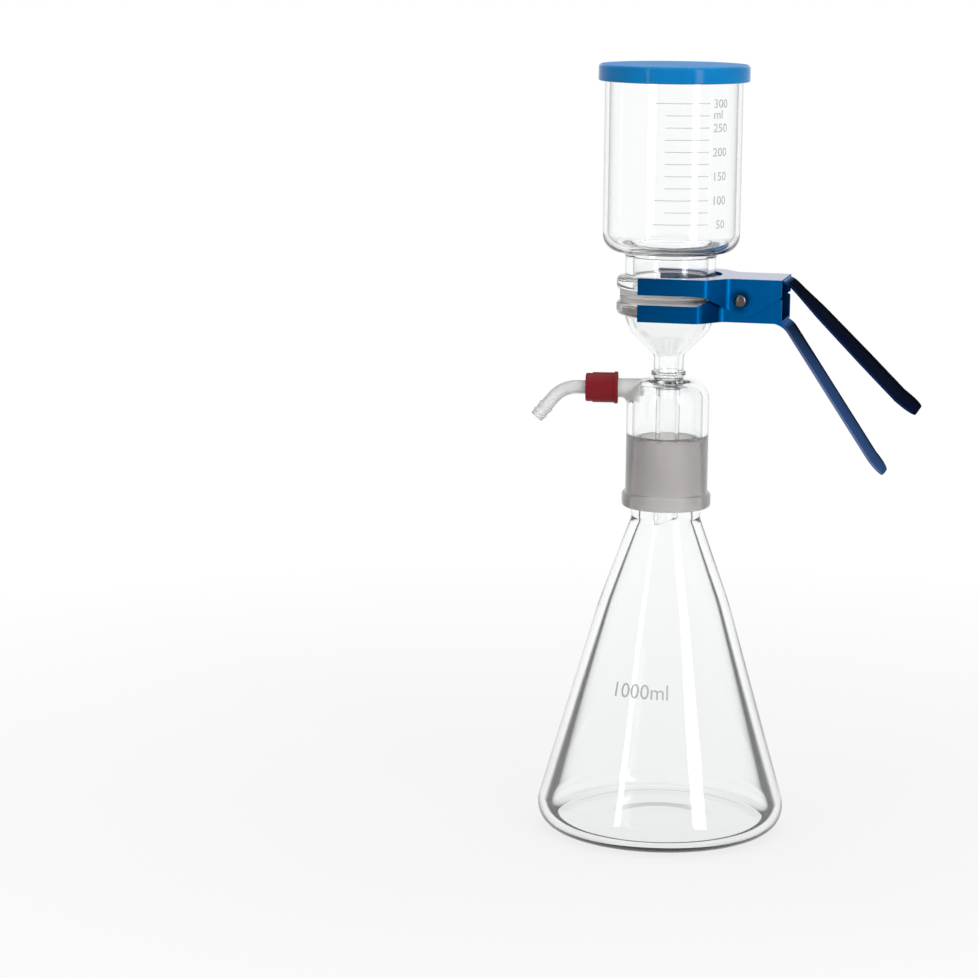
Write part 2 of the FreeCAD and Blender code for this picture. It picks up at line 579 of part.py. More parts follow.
def arm_cap():
    """Open-topped screw cap that draws the connector's collar onto the seal."""
    body = new_body("arm_cap")
    sketch = new_sketch(body, "CapProfile", "XZ_Plane")
    foot = f"({CAP_END} - Sizes.cap_length)"
    narrow = "(Sizes.cap_radius - Sizes.cap_step)"
    opening = "(Sizes.hose_tube_radius + Sizes.cap_clearance)"
    draw_outline(sketch, [
        (f"-{foot}", CAP_BORE),
        (f"-{foot}", "Sizes.cap_radius", "Sizes.cap_step"),
        (f"-{foot} - Sizes.cap_band / 2", "Sizes.cap_radius"),
        (f"-{foot} - Sizes.cap_band / 2", narrow),
        (f"-{CAP_END} + Sizes.cap_band", narrow),
        (f"-{CAP_END} + Sizes.cap_band - Sizes.cap_step", f"{narrow} - Sizes.cap_step"),
        (f"-{CAP_END}", f"{narrow} - Sizes.cap_step", "Sizes.cap_step * 2"),
        (f"-{CAP_END}", opening),
        (f"-{CAP_SEAT}", opening),
        (f"-{CAP_SEAT}", CAP_BORE),
    ])
    turned(body, "CapShell", sketch, axis="H_Axis")
    body.setExpression("Placement.Base.z", ARM_AXIS)
    return body


def hose_connector():
    """Bent glass tube: a collar under the screw cap, a bend, and barbs for the hose."""
    straight_end = f"({CAP_END} + Sizes.hose_tube_straight)"
    turn = "(Sizes.hose_bend_angle * 1 deg)"
    bend_end = f"({straight_end} + Sizes.hose_bend_radius * sin({turn}))"
    bend_drop = f"(Sizes.hose_bend_radius * (1 - cos({turn})))"
    body = new_body("hose_connector")

    section = new_sketch(body, "TubeSection", "YZ_Plane", lift=f"-{COLLAR_FACE}")
    draw_circle(section, "tube", "0", "0", "Sizes.hose_tube_radius")
    path = new_sketch(body, "TubePath", "XZ_Plane")
    corner = f"({straight_end} + Sizes.hose_bend_radius * tan({turn} / 2))"
    tip_across = f"({bend_end} + Sizes.hose_tip_length * cos({turn}))"
    tip_drop = f"({bend_drop} + Sizes.hose_tip_length * sin({turn}))"
    draw_outline(path, [
        (f"-{COLLAR_FACE}", "0"),
        (f"-{corner}", "0", "Sizes.hose_bend_radius"),
        (f"-{tip_across}", f"-{tip_drop}"),
    ], closed=False)
    swept(body, "Tube", section, path)

    collar = new_sketch(body, "CollarProfile", "XZ_Plane")
    draw_outline(collar, [
        (f"-{COLLAR_FACE}", "0"),
        (f"-{COLLAR_FACE}", "Sizes.collar_radius"),
        (f"-{COLLAR_FACE} - Sizes.collar_thickness", "Sizes.collar_radius", "Sizes.lip_chamfer"),
        (f"-{COLLAR_FACE} - Sizes.collar_thickness", "0"),
    ])
    turned(body, "Collar", collar, axis="H_Axis")

    barbs = new_sketch(body, "BarbProfile", "XZ_Plane",
                       shift=(f"-{bend_end}", f"-{bend_drop}", "90 + Sizes.hose_bend_angle"))
    first = "(Sizes.hose_tip_length - 2 * Sizes.hose_barb_length - Sizes.hose_barb_land)"
    second = "(Sizes.hose_tip_length - Sizes.hose_barb_length)"
    draw_outline(barbs, [
        ("0", first),
        ("Sizes.hose_barb_radius", first, "Sizes.hose_tube_bore / 5"),
        ("Sizes.hose_tube_radius", f"{first} + Sizes.hose_barb_length"),
        ("Sizes.hose_tube_radius", second),
        ("Sizes.hose_barb_radius", second, "Sizes.hose_tube_bore / 5"),
        ("Sizes.hose_tube_radius - Sizes.hose_tube_bore / 4", "Sizes.hose_tip_length"),
        ("0", "Sizes.hose_tip_length"),
    ])
    turned(body, "Barbs", barbs)

    bore = new_sketch(body, "BoreSection", "YZ_Plane", lift=f"-{COLLAR_FACE}")
    draw_circle(bore, "bore", "0", "0", "Sizes.hose_tube_bore")
    swept(body, "TubeBore", bore, path, cut=True)
    body.setExpression("Placement.Base.z", ARM_AXIS)
    return body


def place_clamp_piece(body):
    """Stand a piece of the clamp at the flange joint, turned about the head's axis."""
    body.Placement = App.Placement(App.Vector(), App.Rotation(App.Vector(0, 0, 1), 1))
    body.setExpression("Placement.Base.z", SEAM)
    body.setExpression("Placement.Rotation.Angle", "Sizes.clamp_turn")


def both_sides(corners):
    """Corners of a shape that is the same on both sides of the clamp's middle plane."""
    mirrored = [(corner[0], f"-({corner[1]})", *corner[2:]) for corner in reversed(corners)]
    return corners + mirrored


def flare_handle(body, half_width, start, half_strip):
    """Trims both sides of the upper handle, which leaves the body narrow and widens outwards."""
    for name, sign in (("Front", "-"), ("Back", "")):
        trim = new_sketch(body, f"{name}FlareOutline", "XY_Plane")
        draw_outline(trim, [
            (f"{start} - 1", f"{sign}({half_strip} + 1)"),
            (f"{start} - 1", f"{sign}({half_width})"),
            ("Sizes.body_end", f"{sign}({half_width})"),
            ("Sizes.body_end", f"{sign}Sizes.upper_neck"),
            ("Sizes.body_end + Sizes.upper_neck_length", f"{sign}Sizes.upper_neck",
             "Sizes.upper_flare_rounding"),
            ("Sizes.body_end + Sizes.upper_shoulder_reach", f"{sign}Sizes.upper_shoulder",
             "Sizes.upper_flare_rounding"),
            ("Sizes.body_end + Sizes.upper_flare", f"{sign}({half_strip})"),
            ("Sizes.body_end + Sizes.upper_flare", f"{sign}({half_strip} + 1)"),
        ])
        extruded(body, f"{name}Flare", trim, cut=True, both_ways=True)


def clamp_lever(label, side, half_width, narrows, wall_end, handle):
    """One sheet-metal lever: a forked jaw plate with its side walls bent towards the other
    lever, ears on the pin, and a handle. side is 1 for the upper and -1 for the lower lever."""
    root, run, drop, tip_run, tip_drop, half_strip = handle
    taper_end = f"({narrows} + Sizes.jaw_taper)"
    bend = (f"(Sizes.sheet * tan(atan((Sizes.jaw_half_width - {half_width})"
            f" / Sizes.jaw_taper) / 2))")
    body = new_body(label)

    plan = new_sketch(body, "PlanOutline", "XY_Plane",
                      lift="-Sizes.ear_depth" if side > 0 else f"-{PLATE_OUTSIDE}")
    draw_outline(plan, both_sides([
        ("-Sizes.jaw_tip", "Sizes.jaw_half_width"),
        (narrows, "Sizes.jaw_half_width", "Sizes.jaw_bend"),
        (taper_end, half_width, "Sizes.jaw_bend"),
        ("Sizes.body_end", half_width),
    ]))
    extruded(body, "LeverBlock", plan, length=f"Sizes.ear_depth + {PLATE_OUTSIDE}")

    edge = new_sketch(body, "WallEdge", "XZ_Plane")
    draw_outline(edge, [
        ("-Sizes.jaw_tip * 2", f"{side} * Sizes.jaw_wall_gap / 2"),
        (f"{narrows} - 1", f"{side} * Sizes.jaw_wall_gap / 2", "Sizes.jaw_corner"),
        ("Sizes.pin_reach + Sizes.ear_offset", f"{-side} * Sizes.ear_depth", "Sizes.ear_rounding"),
        ("Sizes.body_end", f"{side} * {wall_end}"),
        ("Sizes.body_end * 2", f"{side} * {wall_end}"),
        ("Sizes.body_end * 2", f"{-side} * 2 * Sizes.ear_depth"),
        ("-Sizes.jaw_tip * 2", f"{-side} * 2 * Sizes.ear_depth"),
    ])
    extruded(body, "WallTrim", edge, cut=True, both_ways=True)

    inside = new_sketch(body, "InsideOutline", "XY_Plane",
                        lift=PLATE_INSIDE if side > 0 else f"-{PLATE_INSIDE}")
    draw_outline(inside, both_sides([
        ("-Sizes.jaw_tip * 2", "Sizes.jaw_half_width - Sizes.sheet"),
        (f"{narrows} - {bend}", "Sizes.jaw_half_width - Sizes.sheet", "Sizes.jaw_bend - Sizes.sheet"),
        (f"{taper_end} - {bend}", f"{half_width} - Sizes.sheet", "Sizes.jaw_bend + Sizes.sheet"),
        ("Sizes.body_end * 2", f"{half_width} - Sizes.sheet"),
    ]))
    extruded(body, "ChannelInside", inside, cut=True, reverse=side < 0)

    slot = new_sketch(body, "ForkOutline", "XY_Plane")
    draw_outline(slot, both_sides([
        ("-Sizes.jaw_tip * 2", "Sizes.jaw_slot"),
        ("Sizes.jaw_slot_reach", "Sizes.jaw_slot", "Sizes.jaw_slot_rounding"),
    ]))
    extruded(body, "ForkSlot", slot, cut=True, both_ways=True)

    hole = new_sketch(body, "PinHoleOutline", "XZ_Plane")
    draw_circle(hole, "hole", "Sizes.pin_reach", "0", "Sizes.pin_radius + Sizes.pin_clearance")
    extruded(body, "PinHole", hole, cut=True, both_ways=True)

    middle = f"({PLATE_INSIDE} + Sizes.sheet / 2)"
    start = "(Sizes.body_end - Sizes.handle_bend)"
    strip = new_sketch(body, "HandleSection", "YZ_Plane", lift=start)
    near = f"{side} * {PLATE_INSIDE}"
    far = f"{side} * {PLATE_OUTSIDE}"
    draw_outline(strip, [
        (f"-{half_strip}", near),
        (half_strip, near),
        (half_strip, far),
        (f"-{half_strip}", far),
    ])
    path = new_sketch(body, "HandlePath", "XZ_Plane")
    draw_outline(path, [
        (start, f"{side} * {middle}"),
        (root, f"{side} * {middle}", "Sizes.handle_bend"),
        (f"{root} + {run}", f"{side} * {middle} - {drop}", "Sizes.tip_bend"),
        (f"{root} + {run} + {tip_run}", f"{side} * {middle} - {drop} - {tip_drop}"),
    ], closed=False)
    handle_sheet = swept(body, "Handle", strip, path)

    end = value(f"{root} + {run} + {tip_run}")
    strip_side, sheet_thickness = value(half_strip), value("Sizes.sheet")

    def at_handle_end(edge):
        """True on the short edges at the two corners of the handle's end."""
        middle_point = edge.CenterOfMass
        return (abs(edge.Length - sheet_thickness) < 0.01
                and abs(abs(middle_point.y) - strip_side) < 0.01
                and abs(middle_point.x - end) < sheet_thickness)

    round_edges(body, "HandleEnd", handle_sheet, at_handle_end, "Sizes.handle_corner")
    if side > 0:
        flare_handle(body, half_width, start, half_strip)
    place_clamp_piece(body)
    return body


def clamp_pin():
    """Rivet through the ears of both levers, with a rounded head on each side."""
    shoulder = "(Sizes.body_half_width + Sizes.pin_clearance)"
    body = new_body("clamp_pin")
    sketch = new_sketch(body, "PinProfile", "XY_Plane", shift=("Sizes.pin_reach", "0", "0"))
    draw_outline(sketch, [
        ("0", f"-{shoulder} - Sizes.rivet_head_height"),
        ("Sizes.rivet_head_radius", f"-{shoulder} - Sizes.rivet_head_height", "Sizes.rivet_head_rounding"),
        ("Sizes.rivet_head_radius", f"-{shoulder}"),
        ("Sizes.pin_radius", f"-{shoulder}"),
        ("Sizes.pin_radius", shoulder),
        ("Sizes.rivet_head_radius", shoulder),
        ("Sizes.rivet_head_radius", f"{shoulder} + Sizes.rivet_head_height", "Sizes.rivet_head_rounding"),
        ("0", f"{shoulder} + Sizes.rivet_head_height"),
    ])
    turned(body, "Pin", sketch)
    place_clamp_piece(body)
    return body


def clamp_spring():
    """Torsion spring round the pin: the coil and its two legs are one wire, each leg tangent
    to the coil and bearing on the inside of one lever."""
    coil = value("Sizes.spring_coil_radius")
    pitch = value("Sizes.spring_pitch")
    wire = value("Sizes.spring_wire")
    reach = value("Sizes.spring_leg_reach")
    bearing = value(f"{PLATE_INSIDE} - Sizes.spring_wire / 2 - Sizes.spring_leg_gap")
    far = math.hypot(reach, bearing)
    rise = math.atan2(bearing, reach) - math.asin(coil / far)
    leg = math.sqrt(far ** 2 - coil ** 2)
    turns = math.floor(value("Sizes.spring_turns")) + 0.5 - rise / math.pi
    helix = Part.makeHelix(pitch, turns * pitch, coil)
    helix.rotate(App.Vector(), App.Vector(0, 0, 1), 90 + math.degrees(rise))
    edge = helix.Edges[0]
    lead = pitch / (2 * math.pi * coil)

    def leg_line(at, along):
        """Straight leg that leaves the coil along its tangent."""
        tip = at + App.Vector(leg * math.cos(rise), along * leg * math.sin(rise), -along * leg * lead)
        return Part.LineSegment(at, tip).toShape(), tip

    first, last = edge.Vertexes[0].Point, edge.Vertexes[-1].Point
    upper, upper_tip = leg_line(first, 1)
    lower, _ = leg_line(last, -1)
    path = Part.Wire([Part.LineSegment(upper_tip, first).toShape(), *helix.Edges, lower])
    section = Part.Wire(Part.makeCircle(wire / 2, upper_tip, upper_tip - first))
    pipe = Part.BRepOffsetAPI.MakePipeShell(path)
    pipe.setBiNormalMode(App.Vector(0, 0, 1))
    pipe.add(section)
    pipe.build()
    pipe.makeSolid()
    upright = App.Rotation(App.Vector(1, 0, 0), 90)
    middle = App.Vector(0, 0, -turns * pitch / 2)
    onto_pin = App.Placement(App.Vector(value("Sizes.pin_reach"), 0, 0) + upright.multVec(middle), upright)
    feature = doc.addObject("Part::Feature", "clamp_spring")
    feature.Label = "clamp_spring"
    feature.Shape = pipe.shape().transformed(onto_pin.toMatrix(), copy=True)
    place_clamp_piece(feature)
    return feature


UPPER_HANDLE = ("Sizes.upper_root", "Sizes.upper_run", "Sizes.upper_drop",
                "Sizes.upper_tip_run", "Sizes.upper_tip_drop", "Sizes.upper_half_width")
LOWER_HANDLE = ("Sizes.lower_root", "Sizes.lower_run", "Sizes.lower_drop",
                "Sizes.lower_tip_run", "Sizes.lower_tip_drop", "Sizes.lower_half_width")

pieces = [
    receiver_flask(),
    filter_head(),
    sintered_disc(),
    filter_cup(),
    cup_lid(),
    arm_seal(),
    arm_cap(),
    hose_connector(),
    clamp_lever("clamp_upper_lever", 1, "Sizes.body_half_width", "Sizes.jaw_end",
                "Sizes.upper_wall_end", UPPER_HANDLE),
    clamp_lever("clamp_lower_lever", -1, NESTED_HALF_WIDTH, "(Sizes.jaw_end - Sizes.lever_stagger)",
                "Sizes.lower_wall_end", LOWER_HANDLE),
    clamp_pin(),
    clamp_spring(),
]
doc.recompute()

failed = [item.Name for item in doc.Objects if "Invalid" in item.State or "Error" in item.State]
if failed:
    raise RuntimeError(f"not built: {failed}")
os.makedirs("parts", exist_ok=True)
for piece in pieces:
    if piece.Shape.isNull() or not piece.Shape.isValid():
        raise RuntimeError(f"{piece.Label} has no valid shape")
    piece.Shape.exportStep(f"parts/{piece.Label}.step")
    box = piece.Shape.BoundBox
    print(f"{piece.Label:18} volume {piece.Shape.Volume:9.0f}  x {box.XMin:7.1f} {box.XMax:6.1f}"
          f"  y {box.YMin:6.1f} {box.YMax:5.1f}  z {box.ZMin:6.1f} {box.ZMax:6.1f}")
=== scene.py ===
import json
import math

import bmesh
import bpy
from mathutils import Matrix, Vector


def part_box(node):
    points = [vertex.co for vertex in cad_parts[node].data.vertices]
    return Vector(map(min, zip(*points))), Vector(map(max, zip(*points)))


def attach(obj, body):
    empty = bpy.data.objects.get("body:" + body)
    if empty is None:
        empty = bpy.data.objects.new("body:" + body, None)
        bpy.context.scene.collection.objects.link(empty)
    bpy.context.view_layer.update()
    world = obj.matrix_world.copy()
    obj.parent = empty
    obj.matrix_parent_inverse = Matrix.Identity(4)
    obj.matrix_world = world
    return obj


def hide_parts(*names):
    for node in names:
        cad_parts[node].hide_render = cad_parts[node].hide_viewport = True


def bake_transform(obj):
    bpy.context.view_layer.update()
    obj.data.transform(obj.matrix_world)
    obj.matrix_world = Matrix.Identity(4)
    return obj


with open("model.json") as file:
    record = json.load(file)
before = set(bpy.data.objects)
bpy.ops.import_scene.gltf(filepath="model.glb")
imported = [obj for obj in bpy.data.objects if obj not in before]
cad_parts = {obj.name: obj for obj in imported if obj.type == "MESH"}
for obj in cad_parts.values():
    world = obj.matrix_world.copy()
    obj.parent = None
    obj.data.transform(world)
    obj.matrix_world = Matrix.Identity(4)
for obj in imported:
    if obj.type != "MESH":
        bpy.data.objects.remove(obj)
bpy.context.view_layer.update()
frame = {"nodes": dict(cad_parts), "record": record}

mm = 0.001
fullTurn = 2 * math.pi
nearly = 1e-6  # points closer than this are one point
levelRange = (0.9, 0.98)  # how far upwards a face looks before it counts as level
pureWhite = (1, 1, 1, 1)

# Heights and places that several pieces share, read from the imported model.
jointLength = 38.5 * mm
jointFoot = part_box("receiver_flask")[1].z - jointLength
seamHeight, cupTop = [corner.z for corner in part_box("filter_cup")]
armHeight = sum(corner.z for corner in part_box("arm_seal")) / 2
joints = {joint["name"]: joint for joint in frame["record"]["behaviour"]["joints"]}
hingePlace = Vector(joints["clamp_hinge"]["pos_m"])
hingeAxis = Vector(joints["clamp_hinge"]["axis"]).normalized()
clampForward = hingePlace.xy.normalized()
print("frame loaded:", len(frame["nodes"]), "nodes")


class Wire:
    # A socket that takes part in sums: an expression on wires adds its Math nodes.
    def __init__(self, tree, socket):
        self.tree, self.socket = tree, socket

    def maths(self, operation, first, second):
        return node(self.tree, "ShaderNodeMath", {"operation": operation}, {0: first, 1: second})

    def __add__(self, other):
        return self.maths("ADD", self, other)

    def __radd__(self, other):
        return self.maths("ADD", other, self)

    def __sub__(self, other):
        return self.maths("SUBTRACT", self, other)

    def __rsub__(self, other):
        return self.maths("SUBTRACT", other, self)

    def __mul__(self, other):
        return self.maths("MULTIPLY", self, other)

    def __rmul__(self, other):
        return self.maths("MULTIPLY", other, self)

    def __truediv__(self, other):
        return self.maths("DIVIDE", self, other)

    def __pow__(self, other):
        return self.maths("POWER", self, other)

    def clamped(self, low, high):
        # 0 at low, 1 at high, and straight between them.
        return node(self.tree, "ShaderNodeMapRange", {"clamp": True},
                    {"Value": self, "From Min": low, "From Max": high}, "Result")


def node(tree, kind, settings=None, sockets=None, output=0):
    # Any node: its settings first, then the values or wires of its sockets.
    made = tree.nodes.new(kind)
    for name, setting in (settings or {}).items():
        setattr(made, name, setting)
    for name, given in (sockets or {}).items():
        if isinstance(given, Wire):
            tree.links.new(given.socket, made.inputs[name])
        else:
            made.inputs[name].default_value = given
    return Wire(tree, made.outputs[output])


def newMaterial(name):
    material = bpy.data.materials.new(name)
    material.use_nodes = True
    material.node_tree.nodes.clear()
    return material, material.node_tree


def setSurface(tree, surface):
    made = tree.nodes.new("ShaderNodeOutputMaterial")
    tree.links.new(surface.socket, made.inputs["Surface"])


def places(tree, stretch=(1, 1, 1)):
    # Object coordinates, stretched where a grain runs one way.
    coordinates = node(tree, "ShaderNodeTexCoord", output="Object")
    return node(tree, "ShaderNodeMapping", {}, {"Vector": coordinates, "Scale": stretch})


def noise(tree, where, scale, detail=2.0, roughness=0.5):
    return node(tree, "ShaderNodeTexNoise", {}, {
        "Vector": where, "Scale": scale, "Detail": detail, "Roughness": roughness}, "Fac")


def bump(tree, height, strength, distance):
    return node(tree, "ShaderNodeBump", {}, {
        "Height": height, "Strength": strength, "Distance": distance}, "Normal")


def mixedColour(tree, factor, first, second):
    return node(tree, "ShaderNodeMix", {"data_type": "RGBA"}, {0: factor, 6: first, 7: second}, 2)


def mixedShader(tree, factor, first, second):
    return node(tree, "ShaderNodeMixShader", {}, {0: factor, 1: first, 2: second})


def partOf(tree, vector, axis):
    # One coordinate of a place or a direction.
    return node(tree, "ShaderNodeSeparateXYZ", {}, {"Vector": vector}, axis)


def facingUp(tree):
    # 1 on level faces that look upwards, and 0 on the others.
    normal = node(tree, "ShaderNodeNewGeometry", output="Normal")
    return partOf(tree, normal, "Z").clamped(*levelRange)


def clearInShadow(tree, solid, tint):
    # Light that falls through the glass onto other things passes straight on, a little tinted.
    lightThrough = node(tree, "ShaderNodeBsdfTransparent", {}, {"Color": tint})
    shadowRay = node(tree, "ShaderNodeLightPath", output="Is Shadow Ray")
    return mixedShader(tree, shadowRay, solid, lightThrough)


glassLook = {
    "tint": (0.975, 0.985, 0.985, 1),
    "index": 1.47,
    "waveScale": 55, "waveStretch": (1, 1, 0.35), "waveStrength": 0.1, "waveHeight": 0.3 * mm,
    "smudgeScale": 140, "smudgeRange": (0.55, 0.8), "smudgeHaze": 0.03,
    "paintedEdgeShade": (0.02, 0.022, 0.026, 1),
    "milkTint": (0.95, 0.96, 0.94, 1),
    "shadowTint": (0.95, 0.955, 0.955, 1),
    "thinHeight": 150 * mm, "thickHeight": 15 * mm,
    "turnStart": (0.23, 0.25), "turnEnd": (0.268, 0.28),
}

# Painted shade along the edges of each sort of wall: the share at the very edge, the slant at
# which it is reached, the fall towards the middle, and the glass's haze and milkiness.
plainRim = {"full": 1.0, "haze": 0.0, "milk": 0.0}
glassRims = {
    "outerGlass": {"share": 0.45, "power": 9.0},
    "innerGlass": {"share": 0.85, "full": 0.88, "power": 7.0},
    "flaskInside": {"share": 0.98, "full": 0.8, "footFull": 0.66, "power": 14.0, "turning": 0.6},
    "flatGlass": {"share": 0.12, "power": 6.0},
    "stemGlass": {"share": 0.9, "full": 0.9, "power": 6.0},
    "tubeGlass": {"share": 0.62, "power": 2.0, "haze": 0.05, "milk": 0.42,
                  "endMilk": 0.66, "endStart": -56 * mm, "endFull": -64 * mm},
    "armGlass": {"share": 0.2, "power": 5.0, "haze": 0.05, "milk": 0.52},
}


def rimShare(tree, rim, height):
    # How much painted shade an edge takes: more the nearer the wall is to being seen edge-on, and
    # over a broader band where the wall is thick, low in the flask.
    facing = node(tree, "ShaderNodeLayerWeight", {}, {"Blend": 0.5}, "Facing")
    upwards = height.clamped(glassLook["thickHeight"], glassLook["thinHeight"])
    footFull = rim.get("footFull", rim["full"])
    full = upwards * (rim["full"] - footFull) + footFull
    share = (facing / full).clamped(0, 1) ** rim["power"] * rim["share"]
    if "turning" not in rim:
        return share
    # Within the wall, painted shade also falls where the light starts to be thrown back whole.
    within = node(tree, "ShaderNodeNewGeometry", output="Backfacing")
    turning = facing.clamped(*glassLook["turnStart"]) * (1 - facing.clamped(*glassLook["turnEnd"]))
    return share.maths("MAXIMUM", share, turning * within * rim["turning"])


def milkShare(tree, rim, where):
    # How milky the glass is, and more so towards the end of a piece where the look says it.
    if "endMilk" not in rim:
        return rim["milk"]
    atEnd = partOf(tree, where, "X").clamped(rim["endStart"], rim["endFull"])
    return atEnd * (rim["endMilk"] - rim["milk"]) + rim["milk"]


def clearGlass(name):
    # Borosilicate glass with faint drawing waves, smudges, and painted shade along its edges.
    rim = {**plainRim, **glassRims[name]}
    material, tree = newMaterial(name)
    where = places(tree)
    waves = noise(tree, places(tree, glassLook["waveStretch"]), glassLook["waveScale"], detail=1.0)
    waveStrength = 0.0 if rim["haze"] else glassLook["waveStrength"]
    smudges = noise(tree, where, glassLook["smudgeScale"], detail=4.0, roughness=0.6)
    smudged = smudges.clamped(*glassLook["smudgeRange"])
    glass = node(tree, "ShaderNodeBsdfPrincipled", {}, {
        "Base Color": glassLook["tint"],
        "Roughness": smudged * glassLook["smudgeHaze"] + rim["haze"],
        "IOR": glassLook["index"], "Transmission Weight": 1.0,
        "Normal": bump(tree, waves, waveStrength, glassLook["waveHeight"])})
    # Painted shade: a dark diffuse shader mixed in along the edges.
    dark = node(tree, "ShaderNodeBsdfDiffuse", {}, {"Color": glassLook["paintedEdgeShade"]})
    milk = node(tree, "ShaderNodeBsdfDiffuse", {}, {"Color": glassLook["milkTint"]})
    filled = mixedShader(tree, milkShare(tree, rim, where), glass, milk)
    solid = mixedShader(tree, rimShare(tree, rim, partOf(tree, where, "Z")), filled, dark)
    setSurface(tree, clearInShadow(tree, solid, glassLook["shadowTint"]))
    return material


groundLook = {
    "light": (0.98, 0.935, 0.92, 1), "dark": (0.93, 0.885, 0.87, 1),
    "patchScale": 60, "patchRange": (0.35, 0.65), "transmission": 0.7,
    "grainScale": 900, "grainStrength": 0.5, "grainHeight": 0.1 * mm,
    "roughness": 0.5, "roughnessRange": 0.25,
    "shadowTint": (0.86, 0.85, 0.85, 1),
}


def groundGlass():
    # Ground glass: a fine even grain that scatters the light.
    material, tree = newMaterial("groundGlass")
    where = places(tree)
    grain = noise(tree, where, groundLook["grainScale"], detail=3.0, roughness=0.7)
    patches = noise(tree, where, groundLook["patchScale"]).clamped(*groundLook["patchRange"])
    colour = mixedColour(tree, patches, groundLook["dark"], groundLook["light"])
    frosted = node(tree, "ShaderNodeBsdfPrincipled", {}, {
        "Base Color": colour, "IOR": glassLook["index"],
        "Roughness": grain * groundLook["roughnessRange"] + groundLook["roughness"],
        "Transmission Weight": groundLook["transmission"],
        "Normal": bump(tree, grain, groundLook["grainStrength"], groundLook["grainHeight"])})
    setSurface(tree, clearInShadow(tree, frosted, groundLook["shadowTint"]))
    return material


plasticLooks = {
    "lidPlastic": {"light": (0.0, 0.225, 0.56, 1), "dark": (0.0, 0.17, 0.45, 1),
                   "roughness": 0.1, "gloss": 0.1},
    "capPlastic": {"light": (0.24, 0.012, 0.018, 1), "dark": (0.18, 0.009, 0.014, 1),
                   "roughness": 0.38, "gloss": 0.12},
}
plasticWear = {
    "index": 1.5, "flowScale": 45, "flowRange": (0.3, 0.7),
    "scuffScale": 260, "scuffStretch": (1, 1, 6), "scuffRange": (0.6, 0.75), "scuffed": 0.14,
    "dullTop": 0.35,
    "skinScale": 2600, "skinStrength": 0.08, "skinHeight": 0.05 * mm,
}


def mouldedPlastic(name):
    # Moulded plastic: flow marks, a very fine skin, faint scuffs, and a duller flat top.
    look = plasticLooks[name]
    material, tree = newMaterial(name)
    where = places(tree)
    flow = noise(tree, where, plasticWear["flowScale"]).clamped(*plasticWear["flowRange"])
    skin = noise(tree, where, plasticWear["skinScale"])
    scuffs = noise(tree, places(tree, plasticWear["scuffStretch"]), plasticWear["scuffScale"],
                   detail=4.0, roughness=0.7)
    scuffed = scuffs.clamped(*plasticWear["scuffRange"]) * plasticWear["scuffed"]
    plastic = node(tree, "ShaderNodeBsdfPrincipled", {}, {
        "Base Color": mixedColour(tree, flow, look["dark"], look["light"]),
        "Roughness": scuffed + facingUp(tree) * plasticWear["dullTop"] + look["roughness"],
        "IOR": plasticWear["index"], "Specular IOR Level": look["gloss"],
        "Normal": bump(tree, skin, plasticWear["skinStrength"], plasticWear["skinHeight"])})
    setSurface(tree, plastic)
    return material


# The darker colour is the painted shade towards the jaws and in the dimple, and the darker uneven
# dye.
aluminiumLook = {
    "light": (0.0, 0.092, 0.29, 1), "paintedShade": (0.0, 0.03, 0.1, 1),
    "unevenShare": 0.25, "litTowardsHandleShare": 0.75, "dimpleShadeShare": 0.9,
    "edgeTint": (0.35, 0.45, 0.7, 1),
    "skin": 0.95, "skinRoughness": 0.08, "skinIndex": 1.7,
    "grainScale": 1800, "grainStretch": (0.06, 1, 1),
    "grainStrength": 0.03, "grainHeight": 0.05 * mm,
    "dyeScale": 38, "dyeRange": (0.3, 0.7),
    "jawTip": -30 * mm, "bodyEnd": 60 * mm,
    "dimpleDark": 4.6 * mm, "dimpleClear": 7.5 * mm,
    "handleStart": 64 * mm, "handleEnd": 67 * mm,
    "roughness": 0.26, "roughnessRange": 0.12,
}

# Painted lit and painted shaded colours of each handle, each as seen square on and at a slant; the
# upper handle is painted darker, as if in shade.
handlePaintedLooks = {
    "upperBlue": {"light": ((0.004, 0.022, 0.08, 1), (0.012, 0.045, 0.13, 1)),
                  "dark": ((0.001, 0.004, 0.014, 1), (0.003, 0.01, 0.03, 1))},
    "lowerBlue": {"light": ((0.12, 0.17, 0.32, 1), (0.2, 0.28, 0.45, 1)),
                  "dark": ((0.003, 0.01, 0.03, 1), (0.003, 0.012, 0.04, 1))},
}
# Where the painted shade falls on each handle, with its share of uneven dye and its roughness.
handleShadeAndDye = {
    "side": 14 * mm, "sideShare": 0.45,
    "edgeStart": 9 * mm, "edgeEnd": 12.5 * mm, "edgeShare": 0.5,
    "rootStart": 66 * mm, "rootEnd": 84 * mm, "rootShare": 0.5,
    "unevenShare": 0.1, "roughness": 0.32, "roughnessRange": 0.06,
}


def anodisedHandle(tree, name, along, across, dye):
    # Painted shade on the handle: darker on one side, along that edge, and near the root, with a
    # little uneven dye.
    toSide = across.clamped(-handleShadeAndDye["side"], handleShadeAndDye["side"])
    toEdge = across.clamped(handleShadeAndDye["edgeStart"], handleShadeAndDye["edgeEnd"])
    toRoot = 1 - along.clamped(handleShadeAndDye["rootStart"], handleShadeAndDye["rootEnd"])
    shadeAndDye = (toSide * handleShadeAndDye["sideShare"] + toEdge * handleShadeAndDye["edgeShare"]
             + toRoot * handleShadeAndDye["rootShare"] + dye * handleShadeAndDye["unevenShare"]).clamped(0, 1)
    shaders = [node(tree, "ShaderNodeBsdfPrincipled", {}, {
        "Base Color": colour, "Metallic": 1.0, "Specular Tint": slantColour,
        "Roughness": dye * handleShadeAndDye["roughnessRange"] + handleShadeAndDye["roughness"]})
        for colour, slantColour in handlePaintedLooks[name].values()]
    return mixedShader(tree, shadeAndDye, *shaders)


